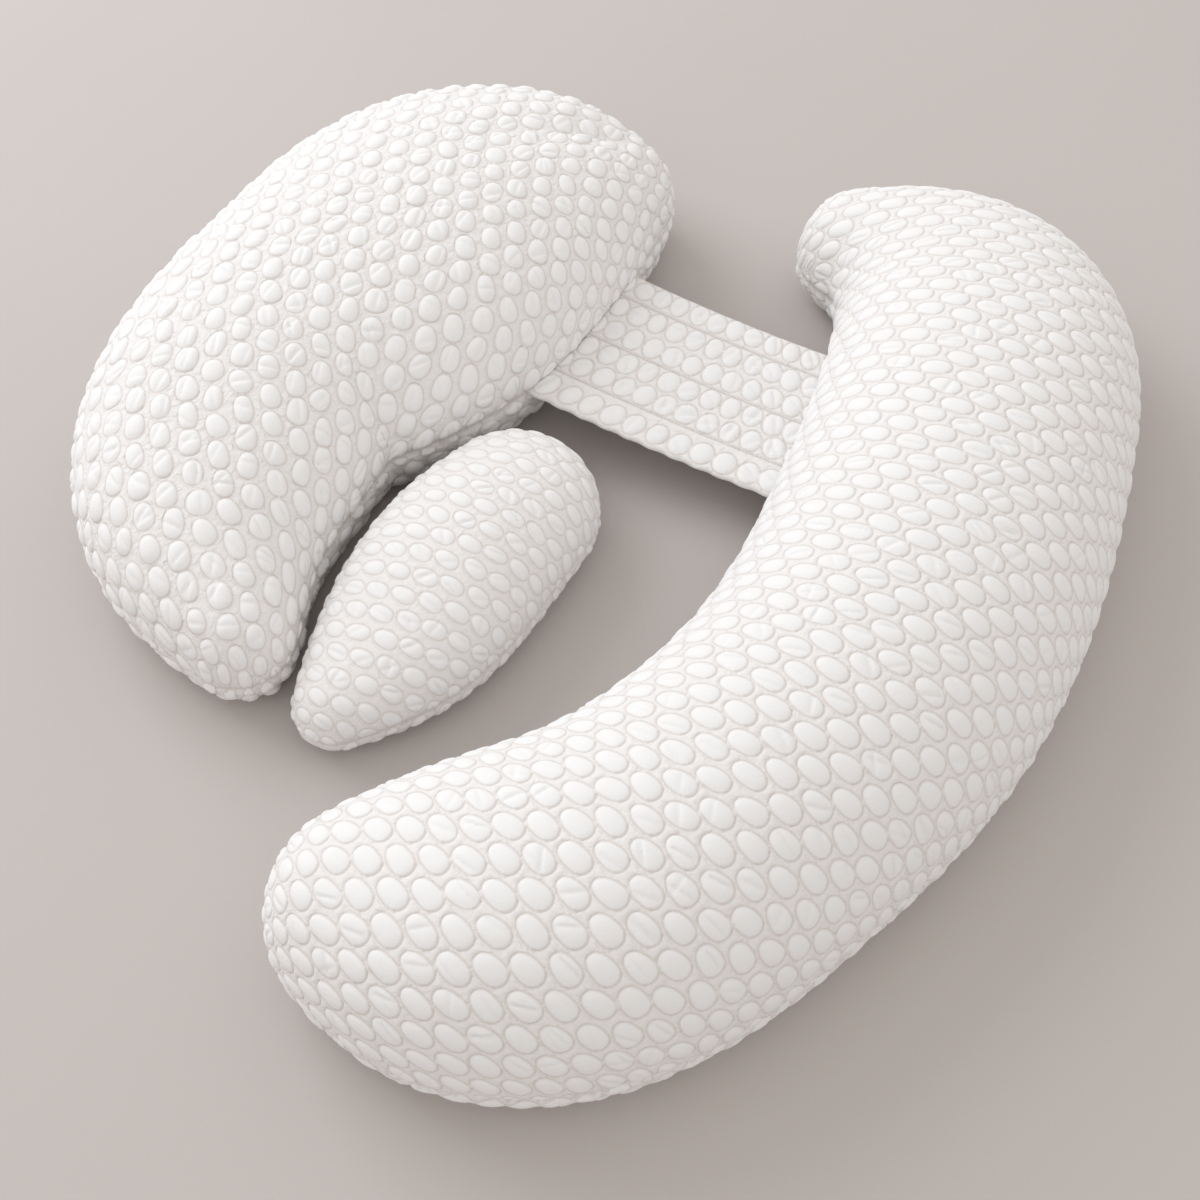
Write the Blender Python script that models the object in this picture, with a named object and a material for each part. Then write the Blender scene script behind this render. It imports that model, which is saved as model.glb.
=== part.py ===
"""A body pillow: a long crescent cushion and a half-moon cushion joined by a quilted strap,
with a small leaf-shaped cushion nested against the half-moon.

Each cushion is a filled solid of two panels, upper and under, sewn together round a side seam. Its
shape comes from a few sections along a curved middle line. The bubble quilting is laid out on the
flat cloth, as the quilting machine does, and then wrapped over the filled shape, so its rows keep
their pitch down the sides. Units are metres, +Z is up, and the set lies on the plane Z = 0.
"""

import math

import bmesh
import bpy
import numpy as np
from mathutils import Matrix, Vector
from mathutils.bvhtree import BVHTree
from mathutils.geometry import barycentric_transform, delaunay_2d_cdt

# ---------------------------------------------------------------- driving sizes

# A cushion's sections, from one end of its middle line to the other. The half width of the first
# and of the last section is also the radius of the rounded end beyond it.
#   x, y        a point of the middle line, seen from above
#   half width  from the middle line to the side seam
#   crown       height of the top above the side seam
#   seam        height of the side seam above the floor
CRESCENT_SECTIONS = (  # x, y, half width, crown, seam
    (-0.016, -0.349, 0.083, 0.106, 0.054),
    (0.064, -0.317, 0.129, 0.125, 0.056),
    (0.130, -0.262, 0.140, 0.133, 0.056),
    (0.194, -0.147, 0.139, 0.138, 0.054),
    (0.239, 0.010, 0.147, 0.140, 0.052),
    (0.243, 0.175, 0.152, 0.140, 0.050),
    (0.226, 0.326, 0.150, 0.134, 0.050),
    (0.178, 0.456, 0.131, 0.116, 0.050),
    (0.092, 0.500, 0.081, 0.096, 0.047),
    (0.037, 0.504, 0.057, 0.082, 0.043),
)

HALF_MOON_SECTIONS = (  # x, y, half width, crown, seam
    (-0.257, -0.180, 0.048, 0.066, 0.046),
    (-0.336, -0.105, 0.102, 0.086, 0.056),
    (-0.384, 0.010, 0.146, 0.102, 0.064),
    (-0.387, 0.098, 0.159, 0.111, 0.066),
    (-0.356, 0.203, 0.188, 0.116, 0.066),
    (-0.330, 0.321, 0.185, 0.117, 0.066),
    (-0.270, 0.409, 0.124, 0.101, 0.062),
    (-0.226, 0.453, 0.073, 0.079, 0.054),
)

LEAF_SECTIONS = (  # x, y, half width, crown, seam
    (-0.156, -0.190, 0.038, 0.044, 0.028),
    (-0.138, -0.107, 0.076, 0.062, 0.036),
    (-0.128, -0.006, 0.086, 0.074, 0.042),
    (-0.117, 0.056, 0.079, 0.068, 0.042),
)

UPPER_SQUARENESS = 2.2  # exponent of the upper panel's profile: 2 is an ellipse
EDGE_ROLL = 0.036  # how far in from the seam the underside reaches the floor
SEAM_SINK = 0.003  # how deep the side seam is drawn in
BUBBLE_RISE = 0.005  # how far the middle of a quilted bubble stands up
SADDLE_SHARE = 0.2  # of that rise, where two bubbles meet; where three or four meet there is none
SEAM_MARGIN = 0.007  # cloth beside the seam that is left without quilting points
FLOOR_MARGIN = 0.012  # the same beside the line where the underside reaches the floor
CLOTH_STRAIGHTENING = 0.8  # the flat panels curve this much of the filled cushion's curve

# The quilting of each cushion: the lengths of its two repeat steps, the first step's direction on
# the flat cloth, and the angle from the first step to the second.
CRESCENT_QUILTING = {"steps": (0.0250, 0.0270), "direction": math.radians(41), "between": math.radians(86)}
HALF_MOON_QUILTING = {"steps": (0.0290, 0.0290), "direction": math.radians(-6), "between": math.radians(60)}
LEAF_QUILTING = {"steps": (0.0250, 0.0250), "direction": math.radians(9), "between": math.radians(60)}
STAGGERED_BELOW = math.radians(75)  # with a smaller angle between its steps, a quilting is staggered

# The strap: a double layer of quilted cloth with lengthwise rows of stitching.
STRAP_NEAR_Y = 0.174  # where its two long edges lie
STRAP_FAR_Y = 0.363
STRAP_THICKNESS = 0.011  # over the bubbles
STRAP_VALLEY = 0.007  # between the bubbles
STRAP_STITCHED = 0.004  # on a row of stitching, and along the folded edges
STRAP_SAG = 0.004  # at the middle of its length
STRAP_BUBBLES = 11  # bubbles in one lengthwise row
SEWING_GAP = 0.0006  # from the strap's ends to the seams that hold them
STRAP_ROWS = (  # where each lengthwise line of points lies across the strap, and what it is
    (0.000, "stitched"),
    (0.100, "bubbles"),
    (0.200, "stitched"),
    (0.275, "bubbles"),
    (0.350, "valley"),
    (0.425, "bubbles"),
    (0.500, "stitched"),
    (0.583, "bubbles"),
    (0.665, "valley"),
    (0.747, "bubbles"),
    (0.830, "stitched"),
    (0.915, "bubbles"),
    (1.000, "stitched"),
)

LINE_STEP = 0.003  # spacing of the points that stand for a middle line
RIM_STEP = 0.0135  # spacing of the points round a side seam
FLOOR_STEP = 0.027  # spacing of the points where an underside meets the floor
PROFILE_POINTS = 48  # points of a panel's profile, from its middle line to its seam
SAME_POINT = 1e-7  # closer than this, the triangulation takes two points for one
NET_STEP = 0.005  # spacing of the rays of the net that carries flat points onto the cushion
NET_SHARES = 40  # points along each of those rays
AT_SEAM = np.array([1.0])  # the share of a ray's length where its outer end is
STEEPEST_TAPER = 0.9  # the fastest change of a half width along the middle line that a ray follows
TAPER_WINDOW = 15  # points of the middle line, each way, over which that change is averaged

CLOTH_COLOUR = (0.83, 0.81, 0.79, 1.0)
CLOTH_ROUGHNESS = 0.85


# ---------------------------------------------------------------- curves

def natural_cubic(knots, values, at):
    """The natural cubic spline through values at knots, read at the given places."""
    count = len(knots)
    gaps = np.diff(knots)
    matrix = np.eye(count)
    slopes = np.zeros_like(values)
    for i in range(1, count - 1):
        matrix[i, i - 1 : i + 2] = gaps[i - 1], 2 * (gaps[i - 1] + gaps[i]), gaps[i]
        rise_after = (values[i + 1] - values[i]) / gaps[i]
        rise_before = (values[i] - values[i - 1]) / gaps[i - 1]
        slopes[i] = 6 * (rise_after - rise_before)
    bends = np.linalg.solve(matrix, slopes)
    i = np.clip(np.searchsorted(knots, at, side="right") - 1, 0, count - 2)
    after = (at - knots[i])[:, None]
    before = (knots[i + 1] - at)[:, None]
    gap = gaps[i][:, None]
    curve = (bends[i] * before**3 + bends[i + 1] * after**3) / (6 * gap)
    curve += (values[i] / gap - bends[i] * gap / 6) * before
    return curve + (values[i + 1] / gap - bends[i + 1] * gap / 6) * after


def unit(angles):
    return np.stack([np.cos(angles), np.sin(angles)], axis=-1)


class Cushion:
    """A cushion's shape, and the way from a place on its flat panels to a place on its surface.

    Rays run from the middle line to the side seam, all round the cushion. Each is a station of the
    middle line and an angle from the line's heading, and tilts as the cushion widens or narrows.
    """

    def __init__(self, sections):
        rows = np.array(sections)
        knots = np.concatenate([[0], np.cumsum(np.hypot(*np.diff(rows[:, :2], axis=0).T))])
        count = round(knots[-1] / LINE_STEP) + 1
        self.along = np.linspace(0, knots[-1], count)
        line = natural_cubic(knots, rows, self.along)
        self.line = line[:, :2]
        self.half_width, self.crown, self.seam = line[:, 2], line[:, 3], line[:, 4]
        tangent = np.gradient(self.line, self.along, axis=0)
        self.heading = np.unwrap(np.arctan2(tangent[:, 1], tangent[:, 0]))
        narrowing = np.pad(-np.gradient(self.half_width, self.along), TAPER_WINDOW, mode="edge")
        window = np.full(2 * TAPER_WINDOW + 1, 1 / (2 * TAPER_WINDOW + 1))
        narrowing = np.clip(np.convolve(narrowing, window, mode="valid"), -STEEPEST_TAPER, STEEPEST_TAPER)
        self.ray_angle = math.pi / 2 - np.arcsin(narrowing)
        middle = count // 2
        turned = self.heading - self.heading[middle]
        self.flat_heading = self.heading[middle] + CLOTH_STRAIGHTENING * turned
        steps = np.diff(self.along)[:, None] * unit((self.flat_heading[1:] + self.flat_heading[:-1]) / 2)
        self.flat_line = np.vstack([[0, 0], np.cumsum(steps, axis=0)])
        self.flat_line += self.line[middle] - self.flat_line[middle]

    def rays(self, step, inset=0.0):
        """Stations and angles of rays whose outer ends lie about a step apart, round the cushion."""
        stations, angles = [], []
        last = len(self.along) - 1
        reach = self.half_width - inset
        for side, order in ((1, np.arange(last + 1)), (-1, np.arange(last, -1, -1))):
            tips = (self.line + reach[:, None] * unit(self.heading + side * self.ray_angle))[order]
            lengths = np.concatenate([[0], np.cumsum(np.hypot(*np.diff(tips, axis=0).T))])
            count = max(4, round(lengths[-1] / step))
            places = np.interp(np.linspace(0, lengths[-1], count, endpoint=False), lengths, order)
            for place in places:
                stations.append(round(place))
                angles.append(side * self.ray_angle[round(place)])
            end = order[-1]
            start_angle = side * self.ray_angle[end]
            fan = 2 * self.ray_angle[end] if side == 1 else 2 * (math.pi - self.ray_angle[end])
            count = max(4, round(fan * reach[end] / step))
            for i in range(count):
                stations.append(end)
                angles.append(start_angle - fan * i / count)
        return np.array(stations), np.array(angles)

    def upper_profile(self, stations):
        """How far out, and how high, the upper panel's points lie, from the crown to the seam."""
        turn = np.linspace(0, math.pi / 2, PROFILE_POINTS)
        out = np.sin(turn) ** (2 / UPPER_SQUARENESS)
        up = np.clip(np.cos(turn), 0, 1) ** (2 / UPPER_SQUARENESS)
        half_width, seam, crown = (row[stations, None] for row in (self.half_width, self.seam, self.crown))
        return half_width * out, seam + crown * up

    def under_profile(self, stations):
        """The same for the under panel: flat on the floor, and then up to the seam."""
        turn = np.linspace(0, math.pi / 2, PROFILE_POINTS - 1)
        half_width, seam = self.half_width[stations, None], self.seam[stations, None]
        out = half_width - EDGE_ROLL * (1 - np.sin(turn))
        up = seam * (1 - np.cos(turn))
        centre = np.zeros_like(half_width)
        return np.hstack([centre, out]), np.hstack([centre, up])

    def panel(self, profile, rays, shares):
        """Where points at the given shares of each ray lie, on the flat cloth and on the cushion."""
        stations, angles = rays
        out, up = profile(stations)
        lengths = np.cumsum(np.hypot(np.diff(out, axis=1), np.diff(up, axis=1)), axis=1)
        lengths = np.hstack([np.zeros((len(stations), 1)), lengths])
        flat, filled = [], []
        for ray in range(len(stations)):
            station = stations[ray]
            reach = lengths[ray, -1] * shares
            distance = np.interp(reach, lengths[ray], out[ray])
            height = np.interp(reach, lengths[ray], up[ray])
            flat_way = unit(self.flat_heading[station] + angles[ray])
            way = unit(self.heading[station] + angles[ray])
            flat.append(self.flat_line[station] + reach[:, None] * flat_way)
            filled.append(np.column_stack([self.line[station] + distance[:, None] * way, height]))
        return np.array(flat), np.array(filled)


def wrap(cushion, profile, points):
    """Carries points of the flat panel onto the filled cushion, over a fine net of rays."""
    shares = np.linspace(0, 1, NET_SHARES)
    flat, filled = cushion.panel(profile, cushion.rays(NET_STEP), shares)
    rays = len(flat)
    corners = np.arange(rays * NET_SHARES).reshape(rays, NET_SHARES)
    beyond = np.roll(corners, -1, axis=0)
    inner, outer = corners[:, :-1].ravel(), corners[:, 1:].ravel()
    next_inner, next_outer = beyond[:, :-1].ravel(), beyond[:, 1:].ravel()
    triangles = np.vstack([
        np.column_stack([inner, outer, next_outer]),
        np.column_stack([inner, next_outer, next_inner]),
    ])
    flat = [Vector((x, y, 0)) for x, y in flat.reshape(-1, 2)]
    filled = [Vector(point) for point in filled.reshape(-1, 3)]
    net = BVHTree.FromPolygons(flat, triangles.tolist())
    placed = []
    for x, y in points:
        nearest, _, index, _ = net.find_nearest((x, y, 0))
        on_flat = [flat[corner] for corner in triangles[index]]
        on_filled = [filled[corner] for corner in triangles[index]]
        placed.append(barycentric_transform(nearest, *on_flat, *on_filled))
    return np.array(placed)


def distance_to_loop(points, loop):
    """How far each point lies from a closed loop's edges."""
    starts = loop[None, :, :]
    edges = np.roll(loop, -1, axis=0)[None, :, :] - starts
    offsets = points[:, None, :] - starts
    share = np.clip((offsets * edges).sum(axis=2) / (edges**2).sum(axis=2), 0, 1)
    nearest = offsets - share[..., None] * edges
    return np.hypot(nearest[..., 0], nearest[..., 1]).min(axis=1)


# ---------------------------------------------------------------- quilting

def quilting_points(quilting, low, high):
    """The quilting inside a rectangle of flat cloth: (point, rise) for each bubble's middle and for
    the cloth round it, and the pairs of points that a bubble's ridges join."""
    first = quilting["steps"][0] * unit(np.array(quilting["direction"]))
    second = quilting["steps"][1] * unit(np.array(quilting["direction"] + quilting["between"]))
    if quilting["between"] < STAGGERED_BELOW:  # staggered rows: each bubble has six neighbours
        hollows = ((first + second) / 3, 2 * (first + second) / 3)
        saddles = (first / 2, second / 2, (second - first) / 2)
        ridges = ((0, 0, 0), (-1, 0, 0), (0, -1, 0), (0, -1, 1), (-1, 0, 1), (-1, -1, 1))
    else:  # rows and columns: each bubble has four neighbours
        hollows = ((first + second) / 2,)
        saddles = (first / 2, second / 2)
        ridges = ((0, 0, 0), (-1, 0, 0), (0, -1, 0), (-1, -1, 0))
    reach = np.hypot(*(high - low))
    count = math.ceil(reach / min(quilting["steps"])) + 1
    centre = (low + high) / 2
    points, rises, places = [], [], {}

    def add(key, point, rise):
        if (low < point).all() and (point < high).all():
            places[key] = len(points)
            points.append(point)
            rises.append(rise)

    start = first * round(float(centre @ first / (first @ first)))
    base = start + second * round(float((centre - start) @ second / (second @ second)))
    for i in range(-count, count + 1):
        for j in range(-count, count + 1):
            middle = base + i * first + j * second
            add((i, j, "bubble"), middle, 1.0)
            for n, step in enumerate(hollows):
                add((i, j, n), middle + step, 0.0)
            for n, step in enumerate(saddles):
                add((i, j, n + len(hollows)), middle + step, SADDLE_SHARE)
    pairs = []
    for (i, j, kind), place in places.items():
        if kind == "bubble":
            for across, along, n in ridges:
                hollow = places.get((i + across, j + along, n))
                if hollow is not None:
                    pairs.append((place, hollow))
    return np.array(points), np.array(rises), pairs


def inside(points, loop):
    """Which points lie inside a closed loop, by counting the edges to the right of each."""
    x, y = points[:, 0][:, None], points[:, 1][:, None]
    x1, y1 = loop[:, 0], loop[:, 1]
    x2, y2 = np.roll(x1, -1), np.roll(y1, -1)
    crosses = (y1 > y) != (y2 > y)
    rise = np.where(y2 == y1, 1, y2 - y1)
    return (crosses & (x < x1 + (y - y1) * (x2 - x1) / rise)).sum(axis=1) % 2 == 1


def triangulate(points, loops, pairs):
    """Triangles between the loops' points and the free points, inside the first loop and outside
    the second. The loops' points come first in the list of points."""
    edges = list(pairs)
    start = 0
    for loop in loops:
        edges += [(start + i, start + (i + 1) % len(loop)) for i in range(len(loop))]
        start += len(loop)
    corners = [Vector(point) for point in points]
    placed, _, triangles, origins, _, _ = delaunay_2d_cdt(corners, edges, [], 0, SAME_POINT)
    if len(placed) != len(points):
        raise ValueError("the quilting's points or the seam cross themselves")
    order = [origin[0] for origin in origins]
    triangles = np.array([[order[corner] for corner in triangle] for triangle in triangles])
    middles = np.asarray(points)[triangles].mean(axis=1)
    kept = inside(middles, loops[0])
    if len(loops) > 1:
        kept &= ~inside(middles, loops[1])
    return triangles[kept]


# ---------------------------------------------------------------- objects

def cloth_material(name):
    material = bpy.data.materials.new(name)
    material.use_nodes = True
    shader = material.node_tree.nodes["Principled BSDF"]
    shader.inputs["Base Color"].default_value = CLOTH_COLOUR
    shader.inputs["Roughness"].default_value = CLOTH_ROUGHNESS
    shader.inputs["Metallic"].default_value = 0.0
    material.diffuse_color = CLOTH_COLOUR
    return material


def add_object(name, bm, material):
    bmesh.ops.recalc_face_normals(bm, faces=bm.faces)
    mesh = bpy.data.meshes.new(name)
    bm.to_mesh(mesh)
    bm.free()
    mesh.materials.append(material)
    mesh.shade_smooth()
    obj = bpy.data.objects.new(name, mesh)
    bpy.context.scene.collection.objects.link(obj)
    return obj


def add_cushion(name, cushion, quilting):
    """The filled cushion, from its seam up to the crown and down to the floor."""
    bm = bmesh.new()
    rim = cushion.rays(RIM_STEP)
    floor = cushion.rays(FLOOR_STEP, inset=EDGE_ROLL)
    stations, angles = floor
    floor_reach = (cushion.half_width[stations] - EDGE_ROLL)[:, None]
    floor_plan = cushion.line[stations] + floor_reach * unit(cushion.heading[stations] + angles)
    floor_flat = cushion.flat_line[stations] + floor_reach * unit(cushion.flat_heading[stations] + angles)
    floor_verts = [bm.verts.new((x, y, 0)) for x, y in floor_plan]
    rim_filled = cushion.panel(cushion.upper_profile, rim, AT_SEAM)[1][:, 0]
    rim_verts = [bm.verts.new(point) for point in rim_filled]

    risen = []
    for profile, loops, loop_verts in (
        (cushion.upper_profile, [], rim_verts),
        (cushion.under_profile, [floor_flat], rim_verts + floor_verts),
    ):
        outline = cushion.panel(profile, rim, AT_SEAM)[0][:, 0]
        points, rises, pairs = quilting_points(quilting, outline.min(axis=0), outline.max(axis=0))
        kept = inside(points, outline)
        kept[kept] = distance_to_loop(points[kept], outline) > SEAM_MARGIN
        if loops:  # the under panel: none where it lies on the floor, and only bubbles and hollows
            kept &= ~inside(points, floor_flat) & ((rises == 0) | (rises == 1))
            kept[kept] = distance_to_loop(points[kept], floor_flat) > FLOOR_MARGIN
        order = np.cumsum(kept) - 1 + len(loop_verts)
        pairs = [(int(order[a]), int(order[b])) for a, b in pairs if kept[a] and kept[b]]
        triangles = triangulate(np.vstack([outline] + loops + [points[kept]]), [outline] + loops, pairs)
        quilt_verts = [bm.verts.new(point) for point in wrap(cushion, profile, points[kept])]
        risen += list(zip(quilt_verts, rises[kept]))
        panel_verts = loop_verts + quilt_verts
        for triangle in triangles:
            bm.faces.new([panel_verts[corner] for corner in triangle])
    bm.faces.new(floor_verts)

    bmesh.ops.recalc_face_normals(bm, faces=bm.faces)
    bm.normal_update()
    moves = [(vert, vert.normal * BUBBLE_RISE * rise) for vert, rise in risen]
    moves += [(vert, -vert.normal * SEAM_SINK) for vert in rim_verts]
    for vert, move in moves:
        vert.co += move
        vert.co.z = max(vert.co.z, 0.0)
    return add_object(name, bm, cloth_material(name + "_cloth"))


def side_seam(cushion, y, towards):
    """x and height of the side seam where it crosses a given y, on the side towards +X or -X."""
    _, filled = cushion.panel(cushion.upper_profile, cushion.rays(LINE_STEP), AT_SEAM)
    seam = filled[:, 0]
    faces = (seam[:, 0] - cushion.line[:, 0].mean()) * towards > 0
    near = seam[faces][np.abs(seam[faces][:, 1] - y).argmin()]
    return near[0], near[2]


def add_strap(name, half_moon, crescent):
    """The strap, from the half-moon's seam to the crescent's, as one closed quilted band."""
    depths = {"stitched": STRAP_STITCHED, "valley": STRAP_VALLEY, "bubbles": STRAP_VALLEY}
    columns = 2 * STRAP_BUBBLES + 1
    bm = bmesh.new()
    grids = {1: [], -1: []}
    for number, (across, kind) in enumerate(STRAP_ROWS):
        y = STRAP_NEAR_Y + across * (STRAP_FAR_Y - STRAP_NEAR_Y)
        start, start_height = side_seam(half_moon, y, towards=1)
        end, end_height = side_seam(crescent, y, towards=-1)
        start += SEWING_GAP
        end -= SEWING_GAP
        rows = {1: [], -1: []}
        for column in range(columns):
            share = column / (columns - 1)
            x = start + share * (end - start)
            z = start_height + share * (end_height - start_height) - 4 * STRAP_SAG * share * (1 - share)
            thickness = depths[kind]
            if kind == "bubbles" and column % 2 == 1:
                thickness = STRAP_THICKNESS
            if column in (0, columns - 1):
                thickness = STRAP_STITCHED
            for face in rows:
                rows[face].append(bm.verts.new((x, y, z + face * thickness / 2)))
        for face in grids:
            grids[face].append(rows[face])
    last_row = len(STRAP_ROWS) - 1
    for face, grid in grids.items():
        for r in range(last_row):
            for c in range(columns - 1):
                bm.faces.new((grid[r][c], grid[r][c + 1], grid[r + 1][c + 1], grid[r + 1][c]))
    upper, lower = grids[1], grids[-1]
    for r in range(last_row):
        for c in (0, columns - 1):
            bm.faces.new((upper[r][c], upper[r + 1][c], lower[r + 1][c], lower[r][c]))
    for c in range(columns - 1):
        for r in (0, last_row):
            bm.faces.new((upper[r][c], upper[r][c + 1], lower[r][c + 1], lower[r][c]))
    return add_object(name, bm, cloth_material(name + "_cloth"))


def centre_on_origin(objects):
    """Moves the set so that the origin lies under the middle of the box round it."""
    corners = np.array([vertex.co for obj in objects for vertex in obj.data.vertices])
    middle = (corners.min(axis=0) + corners.max(axis=0)) / 2
    for obj in objects:
        obj.data.transform(Matrix.Translation((-middle[0], -middle[1], 0)))


def main():
    for obj in list(bpy.data.objects):
        bpy.data.objects.remove(obj)
    crescent = Cushion(CRESCENT_SECTIONS)
    half_moon = Cushion(HALF_MOON_SECTIONS)
    leaf = Cushion(LEAF_SECTIONS)
    objects = [
        add_cushion("crescent_cushion", crescent, CRESCENT_QUILTING),
        add_cushion("half_moon_cushion", half_moon, HALF_MOON_QUILTING),
        add_cushion("leaf_cushion", leaf, LEAF_QUILTING),
        add_strap("joining_strap", half_moon, crescent),
    ]
    centre_on_origin(objects)


main()
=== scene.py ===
# %% [markdown]
# # A quilted body pillow
#
# The set has four sewn pieces: a long crescent cushion, a half-moon cushion, a wide strap that is
# sewn into both, and a small loose cushion shaped like a leaf. All are made of one kind of cloth, a
# white jersey quilted into small oval bubbles.
#
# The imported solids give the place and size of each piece. This lesson makes the cloth that covers
# them. It starts by loading the solids and keeping the box that they fill.

import math

import bpy
import numpy as np
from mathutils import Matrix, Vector, noise
from mathutils.bvhtree import BVHTree
from mathutils.geometry import delaunay_2d_cdt
from mathutils.kdtree import KDTree


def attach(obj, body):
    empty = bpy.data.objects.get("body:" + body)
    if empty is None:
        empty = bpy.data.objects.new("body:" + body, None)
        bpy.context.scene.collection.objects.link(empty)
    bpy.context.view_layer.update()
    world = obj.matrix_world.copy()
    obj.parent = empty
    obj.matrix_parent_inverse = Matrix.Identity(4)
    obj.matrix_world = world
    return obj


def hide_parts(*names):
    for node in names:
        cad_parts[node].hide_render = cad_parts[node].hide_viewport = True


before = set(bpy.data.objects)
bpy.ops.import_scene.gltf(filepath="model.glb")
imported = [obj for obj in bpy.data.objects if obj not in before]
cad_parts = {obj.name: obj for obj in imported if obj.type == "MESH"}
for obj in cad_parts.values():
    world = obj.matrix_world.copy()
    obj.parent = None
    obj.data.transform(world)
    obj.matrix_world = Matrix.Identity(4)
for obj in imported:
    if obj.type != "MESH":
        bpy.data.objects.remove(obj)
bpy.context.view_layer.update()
print("solids:", ", ".join(sorted(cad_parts)))

# %% [markdown]
# ## The view
#
# The set is seen from high above, from the side of the crescent's end that has no hook, through a
# normal lens. The camera is placed by an angle round the set, an angle above the floor and a
# distance, because these three are easy to compare with a picture. It faces a point low over the
# floor, near the middle of the set.

# %% Camera
def add_object(name, data):
    """A new object in the scene, from a camera, a lamp or a mesh."""
    obj = bpy.data.objects.new(name, data)
    bpy.context.scene.collection.objects.link(obj)
    return obj


def direction(azimuth, elevation):
    """The way from the set towards something. Azimuths go from +Y towards +X."""
    return Vector((
        math.sin(azimuth) * math.cos(elevation),
        math.cos(azimuth) * math.cos(elevation),
        math.sin(elevation),
    ))


def face_against(obj, way):
    """Turns a camera or a lamp so that it looks back along the given way."""
    obj.rotation_euler = (-way).to_track_quat("-Z", "Y").to_euler()


PLAN_CENTRE = np.array([-0.0748, 0.0725])  # where the frame's origin lies on the cutting plan
VIEW_AZIMUTH = math.radians(153)
VIEW_ELEVATION = math.radians(55)
VIEW_DISTANCE = 1.41
VIEW_HEIGHT = 0.05  # of the point that the camera faces

faced = Vector((-PLAN_CENTRE[0], -PLAN_CENTRE[1], VIEW_HEIGHT))
towards_camera = direction(VIEW_AZIMUTH, VIEW_ELEVATION)
camera = add_object("camera", bpy.data.cameras.new("camera"))
camera.location = faced + VIEW_DISTANCE * towards_camera
face_against(camera, towards_camera)
camera.data.sensor_width = 36
camera.data.lens = 48
bpy.context.scene.camera = camera
print("camera at", [round(value, 3) for value in camera.location])

# %% [markdown]
# ## Colours and shader nodes
#
# Colours are easiest to choose as the hex values of a paint program, but a shader works with linear
# light, so one function turns the first into the second. A second small function adds a node with
# its settings and links in one line, which keeps each material short enough to read.

# %% Helpers for materials
def linear(colour):
    """A hex colour such as F1EEEB as linear red, green, blue and alpha."""
    values = [int(colour[i : i + 2], 16) / 255 for i in (0, 2, 4)]
    curved = [v / 12.92 if v <= 0.04045 else ((v + 0.055) / 1.055) ** 2.4 for v in values]
    return (*curved, 1.0)


def add_node(tree, kind, settings=None, inputs=None):
    """Adds a shader node. An input that is a socket is linked, and any other is a value."""
    node = tree.nodes.new(kind)
    for name, value in (settings or {}).items():
        setattr(node, name, value)
    for name, value in (inputs or {}).items():
        if isinstance(value, bpy.types.NodeSocket):
            tree.links.new(value, node.inputs[name])
        else:
            node.inputs[name].default_value = value
    return node


def new_material(name):
    material = bpy.data.materials.new(name)
    material.use_nodes = True
    return material, material.node_tree, material.node_tree.nodes["Principled BSDF"]


print("sRGB grey 808080 is", round(linear("808080")[0], 3), "in linear light")

# %% [markdown]
# ## The floor and the light
#
# The floor is a plain sheet of warm grey board. Pale cloth on a pale floor is told apart by its
# shadows, so the light is one very large soft lamp, up on the left of the picture and beyond the
# set, with a strong even light from all round. Together they give shadows that start dark under the
# cushions and fade out softly.

# %% Floor and lamp
FLOOR_SIZE = 12.0

board, tree, shader = new_material("warm_grey_board")
where = add_node(tree, "ShaderNodeTexCoord").outputs["Object"]
blotches = add_node(tree, "ShaderNodeTexNoise", None, {"Vector": where, "Scale": 1.5, "Detail": 2.0})
tones = add_node(tree, "ShaderNodeValToRGB", None, {"Fac": blotches.outputs["Fac"]})
tones.color_ramp.elements[0].color = linear("BEB7B3")
tones.color_ramp.elements[1].color = linear("C3BCB8")
tree.links.new(tones.outputs["Color"], shader.inputs["Base Color"])
shader.inputs["Roughness"].default_value = 0.75
shader.inputs["Specular IOR Level"].default_value = 0.25

bpy.ops.object.select_all(action="DESELECT")
bpy.ops.mesh.primitive_plane_add(size=FLOOR_SIZE)
floor = bpy.context.object
floor.name = "floor"
floor.data.materials.append(board)

LAMP_AZIMUTH = math.radians(284)
LAMP_ELEVATION = math.radians(35)
LAMP_DISTANCE = 4.2
LAMP_SIDE = 3.0
LAMP_POWER = 94.0
EVEN_LIGHT = 0.86  # strength of the light from all round

towards_lamp = direction(LAMP_AZIMUTH, LAMP_ELEVATION)
lamp = add_object("lamp", bpy.data.lights.new("lamp", "AREA"))
lamp.location = LAMP_DISTANCE * towards_lamp
face_against(lamp, towards_lamp)
lamp.data.shape = "SQUARE"
lamp.data.size = LAMP_SIDE
lamp.data.energy = LAMP_POWER
lamp.data.color = linear("F2F8FF")[:3]

world = bpy.data.worlds.new("even_light")
world.use_nodes = True
sky = world.node_tree.nodes["Background"]
sky.inputs["Color"].default_value = linear("FFFCF9")
sky.inputs["Strength"].default_value = EVEN_LIGHT
bpy.context.scene.world = world
bpy.context.scene.view_settings.view_transform = "Standard"  # whites stay white
print("lamp at", [round(value, 2) for value in lamp.location])

# %% [markdown]
# ## The filled shape
#
# A cushion like these is two flat panels, upper and under, sewn together round a side seam and
# stuffed. Its shape is given by sections along a curved middle line. Each has a half width, a crown
# above the seam, and the seam's height above the floor. A smooth curve through the sections gives
# the rest. The same few sizes describe the solids, so the cloth fits them.

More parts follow.
